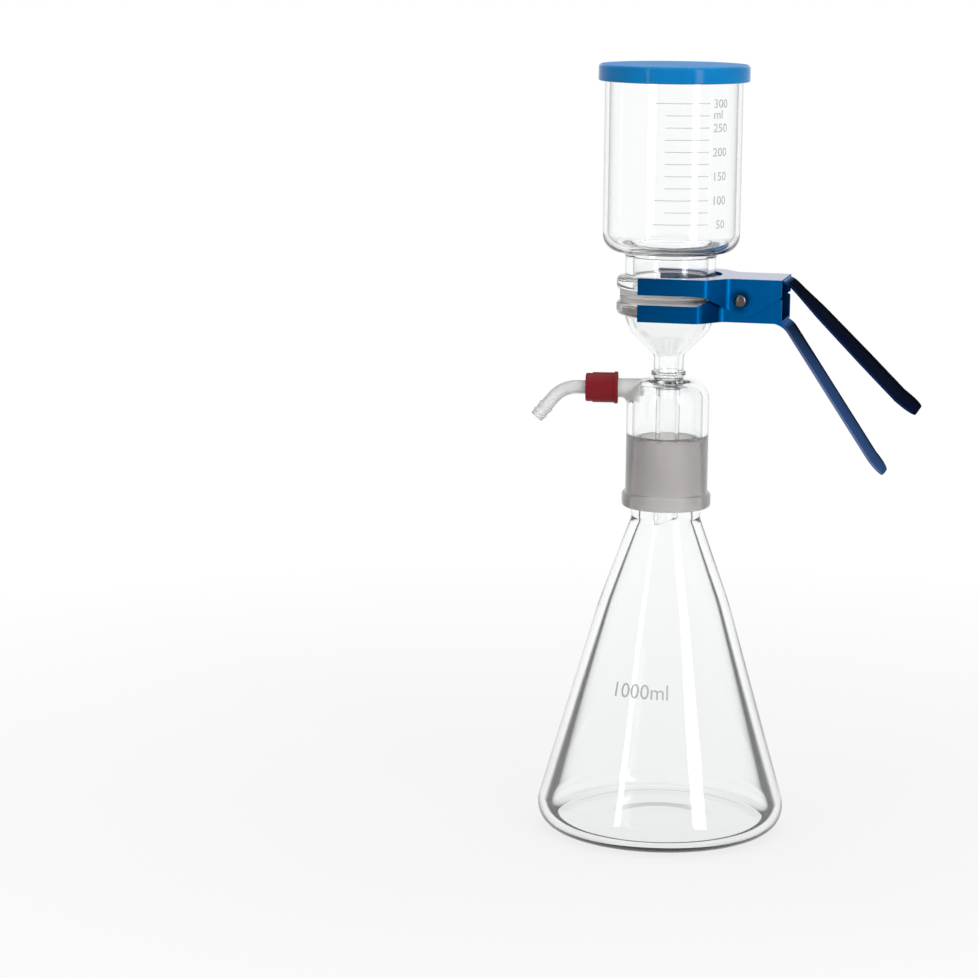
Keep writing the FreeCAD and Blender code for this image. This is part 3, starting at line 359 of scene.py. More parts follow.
def anodisedBlue(name):
    # Dyed anodised aluminium: rolling grain along the sheet, uneven dye, painted shade that lifts
    # from the jaws to the handle and darkens the dimple round the rivet, a clear oxide skin, and
    # the handle's own painted shade and dye.
    look = aluminiumLook
    material, tree = newMaterial(name)
    where = places(tree)
    grain = noise(tree, places(tree, look["grainStretch"]), look["grainScale"],
                  detail=3.0, roughness=0.6)
    dyePatches = noise(tree, where, look["dyeScale"], detail=3.0, roughness=0.6)
    dye = dyePatches.clamped(*look["dyeRange"])
    forward, sideways = (clampForward.x, clampForward.y, 0), (-clampForward.y, clampForward.x, 0)
    along, across = [node(tree, "ShaderNodeVectorMath", {"operation": "DOT_PRODUCT"},
                          {0: where, 1: direction}, "Value") for direction in (forward, sideways)]
    # Painted shade in the dimple round the rivet.
    fromPin = ((along - hingePlace.xy.length) ** 2
               + (partOf(tree, where, "Z") - hingePlace.z) ** 2) ** 0.5
    paintedShade = 1 - fromPin.clamped(look["dimpleDark"], look["dimpleClear"])
    # Painted shade: darker towards the jaws, lighter towards the handle.
    litTowardsHandle = along.clamped(look["jawTip"], look["bodyEnd"])
    lightness = ((dye * look["unevenShare"] + litTowardsHandle * look["litTowardsHandleShare"])
                 * (1 - paintedShade * look["dimpleShadeShare"]))
    body = node(tree, "ShaderNodeBsdfPrincipled", {}, {
        "Base Color": mixedColour(tree, lightness, look["paintedShade"], look["light"]),
        "Metallic": 1.0, "Roughness": grain * look["roughnessRange"] + look["roughness"],
        "Specular Tint": look["edgeTint"], "Coat Weight": facingUp(tree) * look["skin"],
        "Coat Roughness": look["skinRoughness"], "Coat IOR": look["skinIndex"],
        "Normal": bump(tree, grain, look["grainStrength"], look["grainHeight"])})
    onHandle = along.clamped(look["handleStart"], look["handleEnd"])
    handle = anodisedHandle(tree, name, along, across, dye)
    setSurface(tree, mixedShader(tree, onHandle, body, handle))
    return material


steelLooks = {
    # The rivet's colour is painted dark for dark surroundings mirrored in it; the spring keeps a
    # steel colour.
    "rivetSteelPaintedDark": {"light": (0.11, 0.1, 0.1, 1), "dark": (0.06, 0.055, 0.055, 1)},
    "springSteel": {"light": (0.66, 0.66, 0.67, 1), "dark": (0.5, 0.5, 0.51, 1)},
}
steelWear = {"hazeScale": 320, "roughness": 0.08, "roughnessRange": 0.1}


def polishedSteel(name):
    # Polished steel with a little haze; the rivet's steel is painted dark, a painted reflection of
    # dark surroundings.
    material, tree = newMaterial(name)
    haze = noise(tree, places(tree), steelWear["hazeScale"], detail=3.0)
    metal = node(tree, "ShaderNodeBsdfPrincipled", {}, {
        "Base Color": mixedColour(tree, haze, steelLooks[name]["dark"], steelLooks[name]["light"]),
        "Metallic": 1.0,
        "Roughness": haze * steelWear["roughnessRange"] + steelWear["roughness"]})
    setSurface(tree, metal)
    return material


porousLook = {
    "light": (0.86, 0.86, 0.85, 1), "dark": (0.6, 0.6, 0.59, 1), "roughness": 0.8,
    "grainScale": 1500, "poreRange": (0.2, 0.7), "poreStrength": 0.6, "poreDepth": 0.2 * mm,
}


def porousGlass():
    # Sintered glass: white grains with dark pores between them.
    material, tree = newMaterial("porousGlass")
    cells = node(tree, "ShaderNodeTexVoronoi", {},
                 {"Vector": places(tree), "Scale": porousLook["grainScale"]}, "Distance")
    pores = cells.clamped(*porousLook["poreRange"])
    grains = node(tree, "ShaderNodeBsdfPrincipled", {}, {
        "Base Color": mixedColour(tree, pores, porousLook["light"], porousLook["dark"]),
        "Roughness": porousLook["roughness"],
        "Normal": bump(tree, cells, porousLook["poreStrength"], porousLook["poreDepth"])})
    setSurface(tree, grains)
    return material


rubberLook = {
    "light": (0.8, 0.78, 0.73, 1), "dark": (0.68, 0.65, 0.6, 1),
    "bloomScale": 500, "roughness": 0.5, "roughnessRange": 0.2,
}


def sealRubber():
    # Pale silicone rubber with a soft bloom.
    material, tree = newMaterial("sealRubber")
    bloom = noise(tree, places(tree), rubberLook["bloomScale"], detail=3.0)
    rubber = node(tree, "ShaderNodeBsdfPrincipled", {}, {
        "Base Color": mixedColour(tree, bloom, rubberLook["dark"], rubberLook["light"]),
        "Roughness": bloom * rubberLook["roughnessRange"] + rubberLook["roughness"]})
    setSurface(tree, rubber)
    return material


inkLook = {
    "light": (0.58, 0.58, 0.6, 1), "dark": (0.44, 0.44, 0.46, 1),
    "brokenScale": 1400, "brokenRange": (0.3, 0.55), "thinnest": 0.4, "thickest": 0.7,
    "roughness": 0.5, "roughnessRange": 0.2,
}


def firedInk():
    # Pale grey enamel fired onto the glass, a little broken up.
    material, tree = newMaterial("firedInk")
    broken = noise(tree, places(tree), inkLook["brokenScale"], detail=3.0)
    enamel = node(tree, "ShaderNodeBsdfPrincipled", {}, {
        "Base Color": mixedColour(tree, broken, inkLook["dark"], inkLook["light"]),
        "Roughness": broken * inkLook["roughnessRange"] + inkLook["roughness"]})
    bare = node(tree, "ShaderNodeBsdfTransparent", {}, {"Color": pureWhite})
    cover = (broken.clamped(*inkLook["brokenRange"]) * (inkLook["thickest"] - inkLook["thinnest"])
             + inkLook["thinnest"])
    setSurface(tree, mixedShader(tree, cover, bare, enamel))
    return material


clear, inner, flaskInside, flat, stem, tube, armGlass = [clearGlass(name) for name in glassRims]
ground = groundGlass()
lidPlastic, capPlastic = mouldedPlastic("lidPlastic"), mouldedPlastic("capPlastic")
upperMetal, lowerMetal = anodisedBlue("upperBlue"), anodisedBlue("lowerBlue")
rivetSteelPaintedDark, springSteel = polishedSteel("rivetSteelPaintedDark"), polishedSteel("springSteel")
porous, rubber, ink = porousGlass(), sealRubber(), firedInk()
print("materials made")


def outline(corners, closed, segments=10):
    # A wire through corners in millimetres, each a radius, a height and perhaps a rounding.
    shape = bmesh.new()
    points = [shape.verts.new((corner[0] * mm, 0, corner[1] * mm)) for corner in corners]
    pairs = list(zip(points, points[1:])) + ([(points[-1], points[0])] if closed else [])
    for pair in pairs:
        shape.edges.new(pair)
    for point, corner in zip(points, corners):
        if len(corner) == 3:
            back, ahead = [edge.other_vert(point).co - point.co for edge in point.link_edges]
            reach = corner[2] * mm / math.tan(back.angle(ahead) / 2)
            bmesh.ops.bevel(shape, geom=[point], offset=reach, offset_type="OFFSET",
                            affect="VERTICES", segments=segments, profile=0.5, material=-1)
    return shape


def turned(shape, steps):
    # The wire turned once round the Z axis and closed.
    bmesh.ops.spin(shape, geom=shape.verts[:] + shape.edges[:], cent=(0, 0, 0), axis=(0, 0, 1),
                   dvec=(0, 0, 0), angle=fullTurn, steps=steps,
                   use_merge=True, use_duplicate=False)
    bmesh.ops.remove_doubles(shape, verts=shape.verts, dist=nearly)
    bmesh.ops.recalc_face_normals(shape, faces=shape.faces)
    return shape


def piece(name, shape, materials, sharp=35, weighted=True):
    mesh = bpy.data.meshes.new(name)
    shape.to_mesh(mesh)
    shape.free()
    for material in materials:
        mesh.materials.append(material)
    mesh.shade_smooth()
    mesh.set_sharp_from_angle(angle=math.radians(sharp))
    made = bpy.data.objects.new(name, mesh)
    bpy.context.scene.collection.objects.link(made)
    if weighted:
        made.modifiers.new("faceNormals", "WEIGHTED_NORMAL").keep_sharp = True
    return made


def finishedMesh(made):
    # The piece's mesh with its modifiers applied.
    depsgraph = bpy.context.evaluated_depsgraph_get()
    return bpy.data.meshes.new_from_object(made.evaluated_get(depsgraph))


def straightened(made, wanted):
    # Corner normals of a turned surface lose the sideways part that its facets give them,
    # except on the axis itself.
    onAxis = 0.1 * mm
    whole = finishedMesh(made)
    normals = []
    for corner, loop in zip(whole.corner_normals, whole.loops):
        place, normal = whole.vertices[loop.vertex_index].co, corner.vector.copy()
        if wanted(place) and place.xy.length > onAxis:
            sideways = Vector((-place.y, place.x, 0)).normalized()
            normal = (normal - sideways * normal.dot(sideways)).normalized()
        normals.append(normal)
    made.modifiers.clear()
    made.data = whole
    whole.normals_split_custom_set(normals)


def copyOf(name, distance=2e-6):
    # A merged copy of a CAD node's mesh.
    shape = bmesh.new()
    shape.from_mesh(frame["nodes"][name].data)
    bmesh.ops.remove_doubles(shape, verts=shape.verts, dist=distance)
    return shape


def joinShapes(shapes):
    whole = bmesh.new()
    for shape in shapes:
        mesh = bpy.data.meshes.new("part")
        shape.to_mesh(mesh)
        shape.free()
        whole.from_mesh(mesh)
        bpy.data.meshes.remove(mesh)
    return whole


def roundedFiner(shape, wanted):
    # Halves the edges of a turned part and sets the new points out to the full radius.
    old = set(shape.verts)
    edges = [edge for edge in shape.edges if all(wanted(end.co) for end in edge.verts)]
    bmesh.ops.subdivide_edges(shape, edges=edges, cuts=1, use_grid_fill=True)
    for point in shape.verts:
        if point not in old:
            ends = [edge.other_vert(point) for edge in point.link_edges]
            radii = [end.co.xy.length for end in ends if end in old]
            if len(radii) == 2 and point.co.xy.length > nearly:
                point.co.xy *= sum(radii) / 2 / point.co.xy.length


def finishPiece(made, body, slotName, *replaced):
    # The piece moves with its body and stands for the nodes it replaces.
    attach(made, body)
    if replaced:
        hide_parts(*replaced)


def facesAxis(face):
    # True on the inner side of a wall round the axis.
    return face.normal.xy.dot(face.calc_center_median().xy) < 0


def isLevel(face, least=0.93):
    # True on floors and rims.
    return abs(face.normal.z) > least


flask = {
    "spread": 72.8, "baseRounding": 14.0,
    "shoulderRadius": 36.0, "shoulderHeight": 128.0, "shoulderRounding": 120.0,
    "waistRadius": 18.8, "waistHeight": 176.0, "waistRounding": 6.0,
    "jointWide": 19.84, "jointNarrow": 17.94, "jointHeight": 182.0, "jointTop": 220.0,
    "height": 220.5, "neckBore": 14.6, "wall": 5.2, "floor": 5.0,
    "rimRounding": 0.35, "mouthRounding": 1.4,
    "recessRadius": 30.0, "recessDepth": 0.15, "recessSlant": (-6, 2), "recessRounding": 12.0,
    "undersideRadius": 34.0, "undersideHeight": 2.0, "steps": 192,
}
flaskSlope = (flask["spread"] - flask["shoulderRadius"]) / flask["shoulderHeight"]
insideJoint = 17.0 * mm  # lies between the flask's neck bore and its ground cone


def flaskMaterial(face):
    # Place in the flask's list of materials.
    centre = face.calc_center_median()
    onCone = flask["jointHeight"] * mm < centre.z < flask["jointTop"] * mm
    underside = (centre.z < flask["undersideHeight"] * mm
                 and centre.xy.length < flask["undersideRadius"] * mm)
    if onCone and centre.xy.length > insideJoint:
        return 2
    if underside or isLevel(face):
        return 3
    return 1 if facesAxis(face) else 0


def makeFlask():
    upperSlope = ((flask["shoulderRadius"] - flask["waistRadius"])
                  / (flask["waistHeight"] - flask["shoulderHeight"]))
    innerShoulder = flask["shoulderRadius"] - flask["wall"]
    neckFoot = flask["shoulderHeight"] + (innerShoulder - flask["neckBore"]) / upperSlope
    floorReach = flask["spread"] - flask["wall"] - flaskSlope * flask["floor"]
    recessIn, recessOut = [flask["recessRadius"] + reach for reach in flask["recessSlant"]]
    shape = turned(outline([
        (0, flask["recessDepth"]),
        (recessIn, flask["recessDepth"], flask["recessRounding"]),
        (recessOut, 0, flask["recessRounding"]),
        (flask["spread"], 0, flask["baseRounding"]),
        (flask["shoulderRadius"], flask["shoulderHeight"], flask["shoulderRounding"]),
        (flask["waistRadius"], flask["waistHeight"], flask["waistRounding"]),
        (flask["jointWide"], flask["jointHeight"]),
        (flask["jointNarrow"], flask["jointTop"]),
        (flask["jointNarrow"], flask["height"], flask["rimRounding"]),
        (flask["neckBore"], flask["height"], flask["mouthRounding"]),
        (flask["neckBore"], neckFoot, flask["waistRounding"] + flask["wall"]),
        (innerShoulder, flask["shoulderHeight"], flask["shoulderRounding"] - flask["wall"]),
        (floorReach, flask["floor"], flask["baseRounding"] - flask["floor"]),
        (0, flask["floor"]),
    ], closed=False), flask["steps"])
    for face in shape.faces:
        face.material_index = flaskMaterial(face)
    made = piece("flask", shape, [clear, flaskInside, ground, flat])
    finishPiece(made, "stand", "glass", "receiver_flask")


makeFlask()
print("flask made")


# The heights of the socket, its ground part and the stem are those above the joint's foot.
head = {
    "socketHeight": 42.0, "groundHeight": 38.0,
    "stemRadius": 7.0, "stemHeight": 68.0, "stemClearance": 0.5,
    "lipHeight": 3.6, "lipInside": 20.0, "flatFacing": 0.6,
    "armFar": -15.0, "armNear": -9.0, "armHalfHeight": 10.5,
}


def awayFromArm(place):
    return (place.x > head["armNear"] * mm
            or abs(place.z - armHeight) > head["armHalfHeight"] * mm)


def onSocket(place):
    return place.xy.length > insideJoint and place.z < jointFoot + head["socketHeight"] * mm


def headMaterial(face):
    # Place in the head's list of materials.
    centre = face.calc_center_median()
    across, aboveFoot = centre.xy.length, centre.z - jointFoot
    inSocket = across > insideJoint and 0 < aboveFoot < head["groundHeight"] * mm
    onLip = centre.z > seamHeight - head["lipHeight"] * mm and across > head["lipInside"] * mm
    if inSocket and facesAxis(face) or onLip:
        return 2
    nearStem = across < (head["stemRadius"] + head["stemClearance"]) * mm
    if nearStem and aboveFoot < head["stemHeight"] * mm:
        return 3 if aboveFoot < 0 else 4
    if centre.x < head["armFar"] * mm and not awayFromArm(centre):
        return 5
    if isLevel(face, head["flatFacing"]) or not awayFromArm(centre):
        return 3
    return 1 if facesAxis(face) else 0


def makeHead():
    shape = copyOf("filter_head")
    roundedFiner(shape, awayFromArm)
    roundedFiner(shape, onSocket)
    manySided = [face for face in shape.faces if len(face.verts) > 4]
    bmesh.ops.triangulate(shape, faces=manySided)
    for face in shape.faces:
        face.material_index = headMaterial(face)
    print("filter head faces:", len(shape.faces))
    made = piece("filterHead", shape, [clear, inner, ground, flat, stem, armGlass])
    bpy.context.view_layer.update()
    straightened(made, awayFromArm)
    finishPiece(made, "stand", "glass", "filter_head")


makeHead()
print("filter head made")


cup = {
    "height": 122.0, "radius": 37.3, "wall": 2.4, "rimRounding": 0.8,
    "floorHeight": 23.6, "floor": 3.0, "rounding": 9.5,
    "neckRadius": 24.7, "neckBore": 20.5, "neckRounding": 3.2, "cornerRounding": 0.8,
    "flangeRadius": 29.2, "flangeBead": 6.9, "flangeRounding": 2.7, "flangeLipRounding": 1.5,
    "lipRadius": 27.4, "lipHeight": 3.6, "lipChamfer": 0.6, "steps": 176,
}


def cupMaterial(face):
    # Place in the cup's list of materials.
    if face.calc_center_median().z < seamHeight + cup["lipHeight"] * mm:
        return 2
    if isLevel(face):
        return 3
    return 1 if facesAxis(face) else 0


def makeCup():
    flangeTop = cup["flangeBead"] + cup["lipHeight"]
    inside = cup["radius"] - cup["wall"]
    floorTop = cup["floorHeight"] + cup["floor"]
    shape = turned(outline([
        (cup["neckBore"], 0),
        (cup["lipRadius"] - cup["lipChamfer"], 0),
        (cup["lipRadius"], cup["lipChamfer"]),
        (cup["lipRadius"], cup["lipHeight"]),
        (cup["flangeRadius"], cup["lipHeight"], cup["flangeLipRounding"]),
        (cup["flangeRadius"], flangeTop, cup["flangeRounding"]),
        (cup["neckRadius"], flangeTop, cup["cornerRounding"]),
        (cup["neckRadius"], cup["floorHeight"], cup["neckRounding"]),
        (cup["radius"], cup["floorHeight"], cup["rounding"]),
        (cup["radius"], cup["height"], cup["rimRounding"]),
        (inside, cup["height"], cup["rimRounding"]),
        (inside, floorTop, cup["rounding"] - cup["wall"]),
        (cup["neckBore"], floorTop, cup["neckRounding"]),
    ], closed=True), cup["steps"])
    bmesh.ops.translate(shape, verts=shape.verts, vec=(0, 0, seamHeight))
    for face in shape.faces:
        face.material_index = cupMaterial(face)
    made = piece("cup", shape, [clear, inner, ground, flat])
    finishPiece(made, "stand", "glass", "filter_cup")


makeCup()
print("cup made")


marks = {
    "zeroHeight": 327.6, "heightPerMl": 0.2572,
    "volumes": range(50, 301, 25), "longVolumes": (50, 100, 300),
    "numbered": range(50, 301, 50), "unitVolume": 278,
    "shortStart": -6.5, "longStart": -15.0, "end": 31.0,
    "lineWidth": 0.36, "sunk": 0.1, "lift": 0.05, "lineSteps": 24,
    "numberAngle": 34.5, "numberSize": 6.6, "numberMiddle": 0.36, "shortNumberTurn": 4.5,
    "flaskHeight": 83.4, "flaskAngle": -34.5, "flaskSize": 11.2,
    "inkDepth": 0.05,
}


def markHeight(volume):
    return marks["zeroHeight"] + marks["heightPerMl"] * volume


def markLine(height, start, end):
    # A thin printed line round part of the cup.
    shape = bmesh.new()
    low, high = [(height + side * marks["lineWidth"] / 2) * mm for side in (-1, 1)]
    under, over = (cup["radius"] - marks["sunk"]) * mm, (cup["radius"] + marks["lift"]) * mm
    corners = [shape.verts.new((radius, 0, level))
               for radius, level in ((under, low), (over, low), (over, high), (under, high))]
    face = shape.faces.new(corners)
    turn = Matrix.Rotation(math.radians(start - 90), 4, "Z")
    bmesh.ops.transform(shape, matrix=turn, verts=shape.verts)
    bmesh.ops.spin(shape, geom=[face, *face.edges, *face.verts], cent=(0, 0, 0), axis=(0, 0, 1),
                   dvec=(0, 0, 0), angle=math.radians(end - start), steps=marks["lineSteps"],
                   use_merge=False, use_duplicate=False)
    bmesh.ops.recalc_face_normals(shape, faces=shape.faces)
    return shape


def writing(words, size):
    # Words as a thin mesh that lies in the XY plane.
    curve = bpy.data.curves.new("words", "FONT")
    curve.body, curve.size, curve.extrude = words, size * mm, marks["inkDepth"] * mm
    curve.resolution_u = 3
    temporary = bpy.data.objects.new("words", curve)
    bpy.context.scene.collection.objects.link(temporary)
    bpy.context.view_layer.update()
    mesh = finishedMesh(temporary)
    bpy.data.objects.remove(temporary)
    shape = bmesh.new()
    shape.from_mesh(mesh)
    bpy.data.meshes.remove(mesh)
    bmesh.ops.remove_doubles(shape, verts=shape.verts, dist=nearly)
    return shape


def wrapWords(shape, height, startAngle, radiusAt):
    # Wraps words round the axis: x becomes a turn, y a height up the wall.
    for point in shape.verts:
        level = height * mm + point.co.y
        angle = math.radians(startAngle - 90) + point.co.x / radiusAt(height * mm)
        reach = radiusAt(level) + marks["lift"] * mm + point.co.z
        point.co = (reach * math.cos(angle), reach * math.sin(angle), level)


def finishMark(name, shape):
    finishPiece(piece(name, shape, [ink], weighted=False), "stand", "glass")


def makeScale():
    lines = []
    for volume in marks["volumes"]:
        start = marks["longStart"] if volume in marks["longVolumes"] else marks["shortStart"]
        lines.append(markLine(markHeight(volume), start, marks["end"]))
    finishMark("graduationLines", joinShapes(lines))
    labels = [(str(volume), volume) for volume in marks["numbered"]]
    labels.append(("ml", marks["unitVolume"]))
    numbers = []
    for words, volume in labels:
        shape = writing(words, marks["numberSize"])
        height = markHeight(volume) - marks["numberSize"] * marks["numberMiddle"]
        turn = marks["shortNumberTurn"] if volume < 100 else 0  # two digits
        wrapWords(shape, height, marks["numberAngle"] + turn, lambda level: cup["radius"] * mm)
        numbers.append(shape)
    finishMark("graduationNumbers", joinShapes(numbers))


def makeFlaskVolume():
    shape = writing("1000ml", marks["flaskSize"])
    wrapWords(shape, marks["flaskHeight"], marks["flaskAngle"],
              lambda level: flask["spread"] * mm - flaskSlope * level)
    finishMark("flaskVolume", shape)


makeScale()
makeFlaskVolume()
print("marks made")


lid = {
    "radius": 41.0, "height": 9.0, "top": 3.0, "rounding": 1.8, "clearance": 0.45,
    "spigotDepth": 4.0, "spigotWall": 1.6, "spigotRoundings": (0.4, 0.7),
    "skirtRoundings": (0.3, 0.6), "lift": 0.02, "steps": 176,
}


def makeLid():
    skirtInside = cup["radius"] + lid["clearance"]
    ringOutside = cup["radius"] - cup["wall"] - lid["clearance"]
    ringInside = ringOutside - lid["spigotWall"]
    foot = lid["top"] - lid["height"]
    small, large = lid["spigotRoundings"]
    footInner, footOuter = lid["skirtRoundings"]
    shape = turned(outline([
        (0, 0),
        (ringInside, 0, small),
        (ringInside, -lid["spigotDepth"], small),
        (ringOutside, -lid["spigotDepth"], large),
        (ringOutside, 0),
        (skirtInside, 0),
        (skirtInside, foot, footInner),
        (lid["radius"], foot, footOuter),
        (lid["radius"], lid["top"], lid["rounding"]),
        (0, lid["top"]),
    ], closed=False, segments=6), lid["steps"])
    bmesh.ops.translate(shape, verts=shape.verts, vec=(0, 0, cupTop + lid["lift"] * mm))
    made = piece("lid", shape, [lidPlastic])
    finishPiece(made, "stand", "blue_plastic", "cup_lid")


makeLid()
print("lid made")


lever = {
    "smoothAngle": 1.5, "edgeAngle": 60, "edgeBevel": 0.3, "edgeSegments": 2, "halfWidth": 18.0,
    "dimpleRadius": 6.3, "dimpleFoot": 4.3, "dimpleDepth": 0.85, "dimpleRounding": 0.5,
    "dimpleLip": 0.6, "dimpleOver": 0.2, "dimpleSteps": 64,
}


def turnToHinge(shape):
    # Takes a shape turned about Z at the origin onto the hinge's axis.
    turn = Vector((0, 0, 1)).rotation_difference(hingeAxis).to_matrix().to_4x4()
    bmesh.ops.transform(shape, matrix=Matrix.Translation(hingePlace) @ turn, verts=shape.verts)


def pressDimples(made, material):
    # A shallow round dimple in each side of the lever, about the rivet.
    floor = lever["halfWidth"] - lever["dimpleDepth"]
    top = lever["halfWidth"] + lever["dimpleOver"]
    near = turned(outline([
        (0, floor),
        (lever["dimpleFoot"], floor, lever["dimpleRounding"]),
        (lever["dimpleRadius"] + lever["dimpleLip"], top),
        (0, top),
    ], closed=False), lever["dimpleSteps"])
    far = near.copy()
    halfTurn = Matrix.Rotation(math.pi, 3, "X")
    bmesh.ops.rotate(far, verts=far.verts, cent=(0, 0, 0), matrix=halfTurn)
    cutters = joinShapes([near, far])
    turnToHinge(cutters)
    tool = piece("dimpleTool", cutters, [material], weighted=False)
    cut = made.modifiers.new("dimples", "BOOLEAN")
    cut.operation, cut.solver, cut.object = "DIFFERENCE", "EXACT", tool
    made.modifiers.move(len(made.modifiers) - 1, 0)
    bpy.context.view_layer.update()
    whole = finishedMesh(made)
    made.modifiers.clear()
    made.data = whole
    bpy.data.objects.remove(tool)


def makeLever(name, nodeName, body, material, dimpled):
    shape = copyOf(nodeName)
    bmesh.ops.dissolve_limit(shape, angle_limit=math.radians(lever["smoothAngle"]),
                             verts=shape.verts, edges=shape.edges, delimit={"NORMAL"})
    edgeAngle = math.radians(lever["edgeAngle"])
    sharpEdges = [edge for edge in shape.edges
                  if edge.is_manifold and edge.calc_face_angle() > edgeAngle]
    bmesh.ops.bevel(shape, geom=sharpEdges, offset=lever["edgeBevel"] * mm, offset_type="OFFSET",
                    affect="EDGES", segments=lever["edgeSegments"], profile=0.5, material=-1,
                    clamp_overlap=True)
    made = piece(name, shape, [material], sharp=30)
    if dimpled:
        pressDimples(made, material)
    finishPiece(made, body, "blue_aluminium", nodeName)


makeLever("upperLever", "clamp_upper_lever", "upper_lever", upperMetal, True)
makeLever("lowerLever", "clamp_lower_lever", "stand", lowerMetal, False)
print("clamp levers made")


rivet = {
    "shank": 2.4, "headRadius": 3.4, "reach": 19.56, "shoulder": 17.1, "rimHeight": 18.4,
    "crownShare": 0.55, "crownDrop": 0.05,
    "crownRounding": 4.5, "rimRounding": 1.2, "footRounding": 0.1, "steps": 72,
}


def makeRivet():
    # Shank with a domed head at each end.
    crownRadius = rivet["crownShare"] * rivet["headRadius"]
    half = [
        (0, rivet["reach"]),
        (crownRadius, rivet["reach"] - rivet["crownDrop"], rivet["crownRounding"]),
        (rivet["headRadius"], rivet["rimHeight"], rivet["rimRounding"]),
        (rivet["headRadius"], rivet["shoulder"], rivet["footRounding"]),
        (rivet["shank"], rivet["shoulder"]),
    ]
    otherHalf = [(radius, -height, *rounding) for radius, height, *rounding in half]
    shape = turned(outline(otherHalf + half[::-1], closed=False), rivet["steps"])
    turnToHinge(shape)
    made = piece("rivet", shape, [rivetSteelPaintedDark], sharp=50)
    finishPiece(made, "stand", "bright_steel", "clamp_pin")


makeRivet()
print("rivet made")


# Pieces taken over from their solids: node, body, slot, material and sharp angle.
takenOver = {
    "porousDisc": ("sintered_disc", "stand", "porous_glass", porous, 30),
    "seal": ("arm_seal", "seal", "seal_rubber", rubber, 30),
    "screwCap": ("arm_cap", "screw_cap", "red_plastic", capPlastic, 30),
    "hoseConnector": ("hose_connector", "connector", "glass", tube, 40),
}


def makeTakenOver():
    for name, (nodeName, body, slotName, material, sharp) in takenOver.items():
        made = piece(name, copyOf(nodeName), [material], sharp=sharp)
        finishPiece(made, body, slotName, nodeName)


makeTakenOver()
print("other pieces made")


spring = {"coilRadius": 5.2, "wire": 1.6}


def makeSpring():
    # The whole spring, coil and both legs, stays put as one piece baked in place.
    made = piece("spring", copyOf("clamp_spring"), [springSteel], sharp=40)
    legEnd = hingePlace.copy()
    legEnd.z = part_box("clamp_spring")[1].z - spring["wire"] * mm
    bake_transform(made)
    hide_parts("clamp_spring")


makeSpring()
print("spring made")


studio = {
    "floorRadius": 8.0, "floorSegments": 96, "floorDrop": 0.2 * mm,
    "paperLight": (0.93, 0.93, 0.93, 1), "paperDark": (0.9, 0.9, 0.9, 1),
    "paperRoughness": 0.9, "speckleScale": 300,
    "shadowReach": 0.2, "whiteReach": 0.75, "nearWhite": 0.74, "ambient": 0.32,
    "strips": {"leftStrip": {"angle": -40, "width": 0.12, "power": 3.4},
               "rightStrip": {"angle": 38, "width": 0.34, "power": 13}},
    "stripLength": 1.5, "stripDistance": 1.6, "stripHeight": 0.75, "stripAim": 0.25,
    "topHeight": 1.7, "topSize": 1.6, "topPower": 12,
}


def seenDirectly(tree):
    # 1 where the white surroundings are seen, mirrored or looked at through glass.
    path = tree.nodes.new("ShaderNodeLightPath")
    seen, mirrored, through = [Wire(tree, path.outputs[ray]) for ray in (
        "Is Camera Ray", "Is Glossy Ray", "Is Transmission Ray")]
    return seen.maths("MAXIMUM", seen.maths("MAXIMUM", seen, mirrored), through)


def makeFloor():
    # A wide pale floor that keeps the shadow near the object and is white farther off.
    shape = bmesh.new()
    bmesh.ops.create_circle(shape, cap_ends=True, segments=studio["floorSegments"],
                            radius=studio["floorRadius"])
    bmesh.ops.translate(shape, verts=shape.verts, vec=(0, 0, -studio["floorDrop"]))
    material, tree = newMaterial("paleFloor")
    where = places(tree)
    speckle = noise(tree, where, studio["speckleScale"], detail=3.0)
    paper = node(tree, "ShaderNodeBsdfPrincipled", {}, {
        "Base Color": mixedColour(tree, speckle, studio["paperDark"], studio["paperLight"]),
        "Roughness": studio["paperRoughness"], "Specular IOR Level": 0.0})
    white = node(tree, "ShaderNodeEmission", {}, {"Color": pureWhite, "Strength": 1.0})
    away = node(tree, "ShaderNodeVectorMath", {"operation": "LENGTH"}, {0: where}, "Value")
    fade = away.clamped(studio["shadowReach"], studio["whiteReach"])
    share = fade * (1 - studio["nearWhite"]) + studio["nearWhite"]
    setSurface(tree, mixedShader(tree, seenDirectly(tree) * share, paper, white))
    piece("floor", shape, [material], weighted=False)


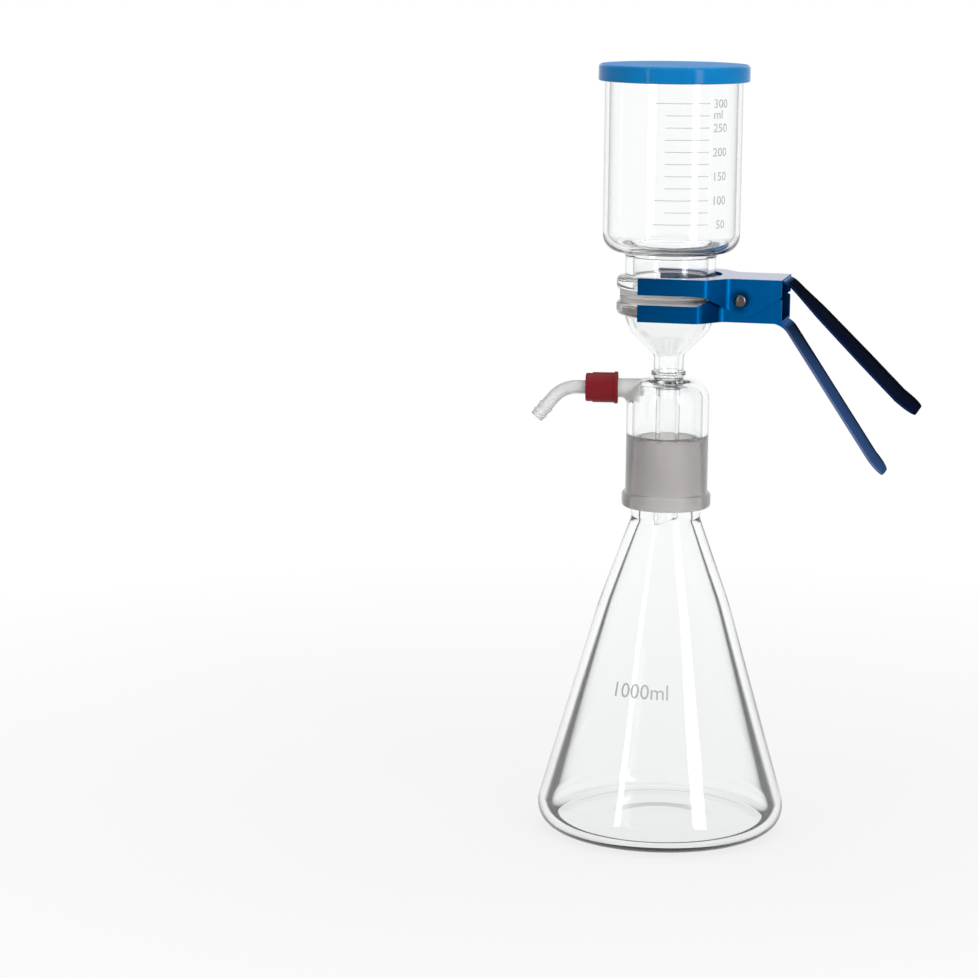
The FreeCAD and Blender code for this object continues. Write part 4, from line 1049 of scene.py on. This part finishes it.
def makeWorld():
    world = bpy.data.worlds.new("studio")
    bpy.context.scene.world = world
    world.use_nodes = True
    tree = world.node_tree
    tree.nodes.clear()
    around, white = [
        node(tree, "ShaderNodeBackground", {}, {"Color": pureWhite, "Strength": strength})
        for strength in (studio["ambient"], 1.0)]
    mixed = mixedShader(tree, seenDirectly(tree), around, white)
    output = tree.nodes.new("ShaderNodeOutputWorld")
    tree.links.new(mixed.socket, output.inputs["Surface"])


def addLamp(name, size, power, place, length=None):
    # A soft box: square, or a strip where it has a length.
    data = bpy.data.lights.new(name, "AREA")
    data.shape = "RECTANGLE" if length else "SQUARE"
    data.size, data.size_y, data.energy = size, length or size, power
    lamp = bpy.data.objects.new(name, data)
    bpy.context.scene.collection.objects.link(lamp)
    lamp.location = place
    return lamp


def addStrips():
    # Tall soft boxes that stand round the object, each at an angle from the front.
    for name, strip in studio["strips"].items():
        turn = math.radians(strip["angle"] - 90)
        place = Vector((studio["stripDistance"] * math.cos(turn),
                        studio["stripDistance"] * math.sin(turn), studio["stripHeight"]))
        lamp = addLamp(name, strip["width"], strip["power"], place, studio["stripLength"])
        aim = Vector((0, 0, studio["stripAim"])) - place
        lamp.rotation_euler = aim.to_track_quat("-Z", "Y").to_euler()


view = {
    "place": (0, -1.746, 0.4987), "down": 10.035, "yaw": 3.21, "roll": 0.6,
    "lens": 118.06, "sensor": 36,
}


def makeCamera():
    data = bpy.data.cameras.new("camera")
    data.lens, data.sensor_width = view["lens"], view["sensor"]
    camera = bpy.data.objects.new("camera", data)
    bpy.context.scene.collection.objects.link(camera)
    turns = [(view["yaw"], "Z"), (90 - view["down"], "X"), (view["roll"], "Z")]
    yaw, tilt, roll = [Matrix.Rotation(math.radians(angle), 3, axis) for angle, axis in turns]
    camera.location = view["place"]
    camera.rotation_euler = (yaw @ tilt @ roll).to_euler()
    bpy.context.scene.camera = camera


makeFloor()
makeWorld()
addStrips()
addLamp("topBox", studio["topSize"], studio["topPower"], (0, 0, studio["topHeight"]))
makeCamera()
scene = bpy.context.scene
scene.view_settings.view_transform = "Standard"
scene.cycles.max_bounces = 28
scene.cycles.transmission_bounces = 24
scene.cycles.transparent_max_bounces = 24
scene.cycles.caustics_reflective = False
scene.cycles.caustics_refractive = False
print("studio made")
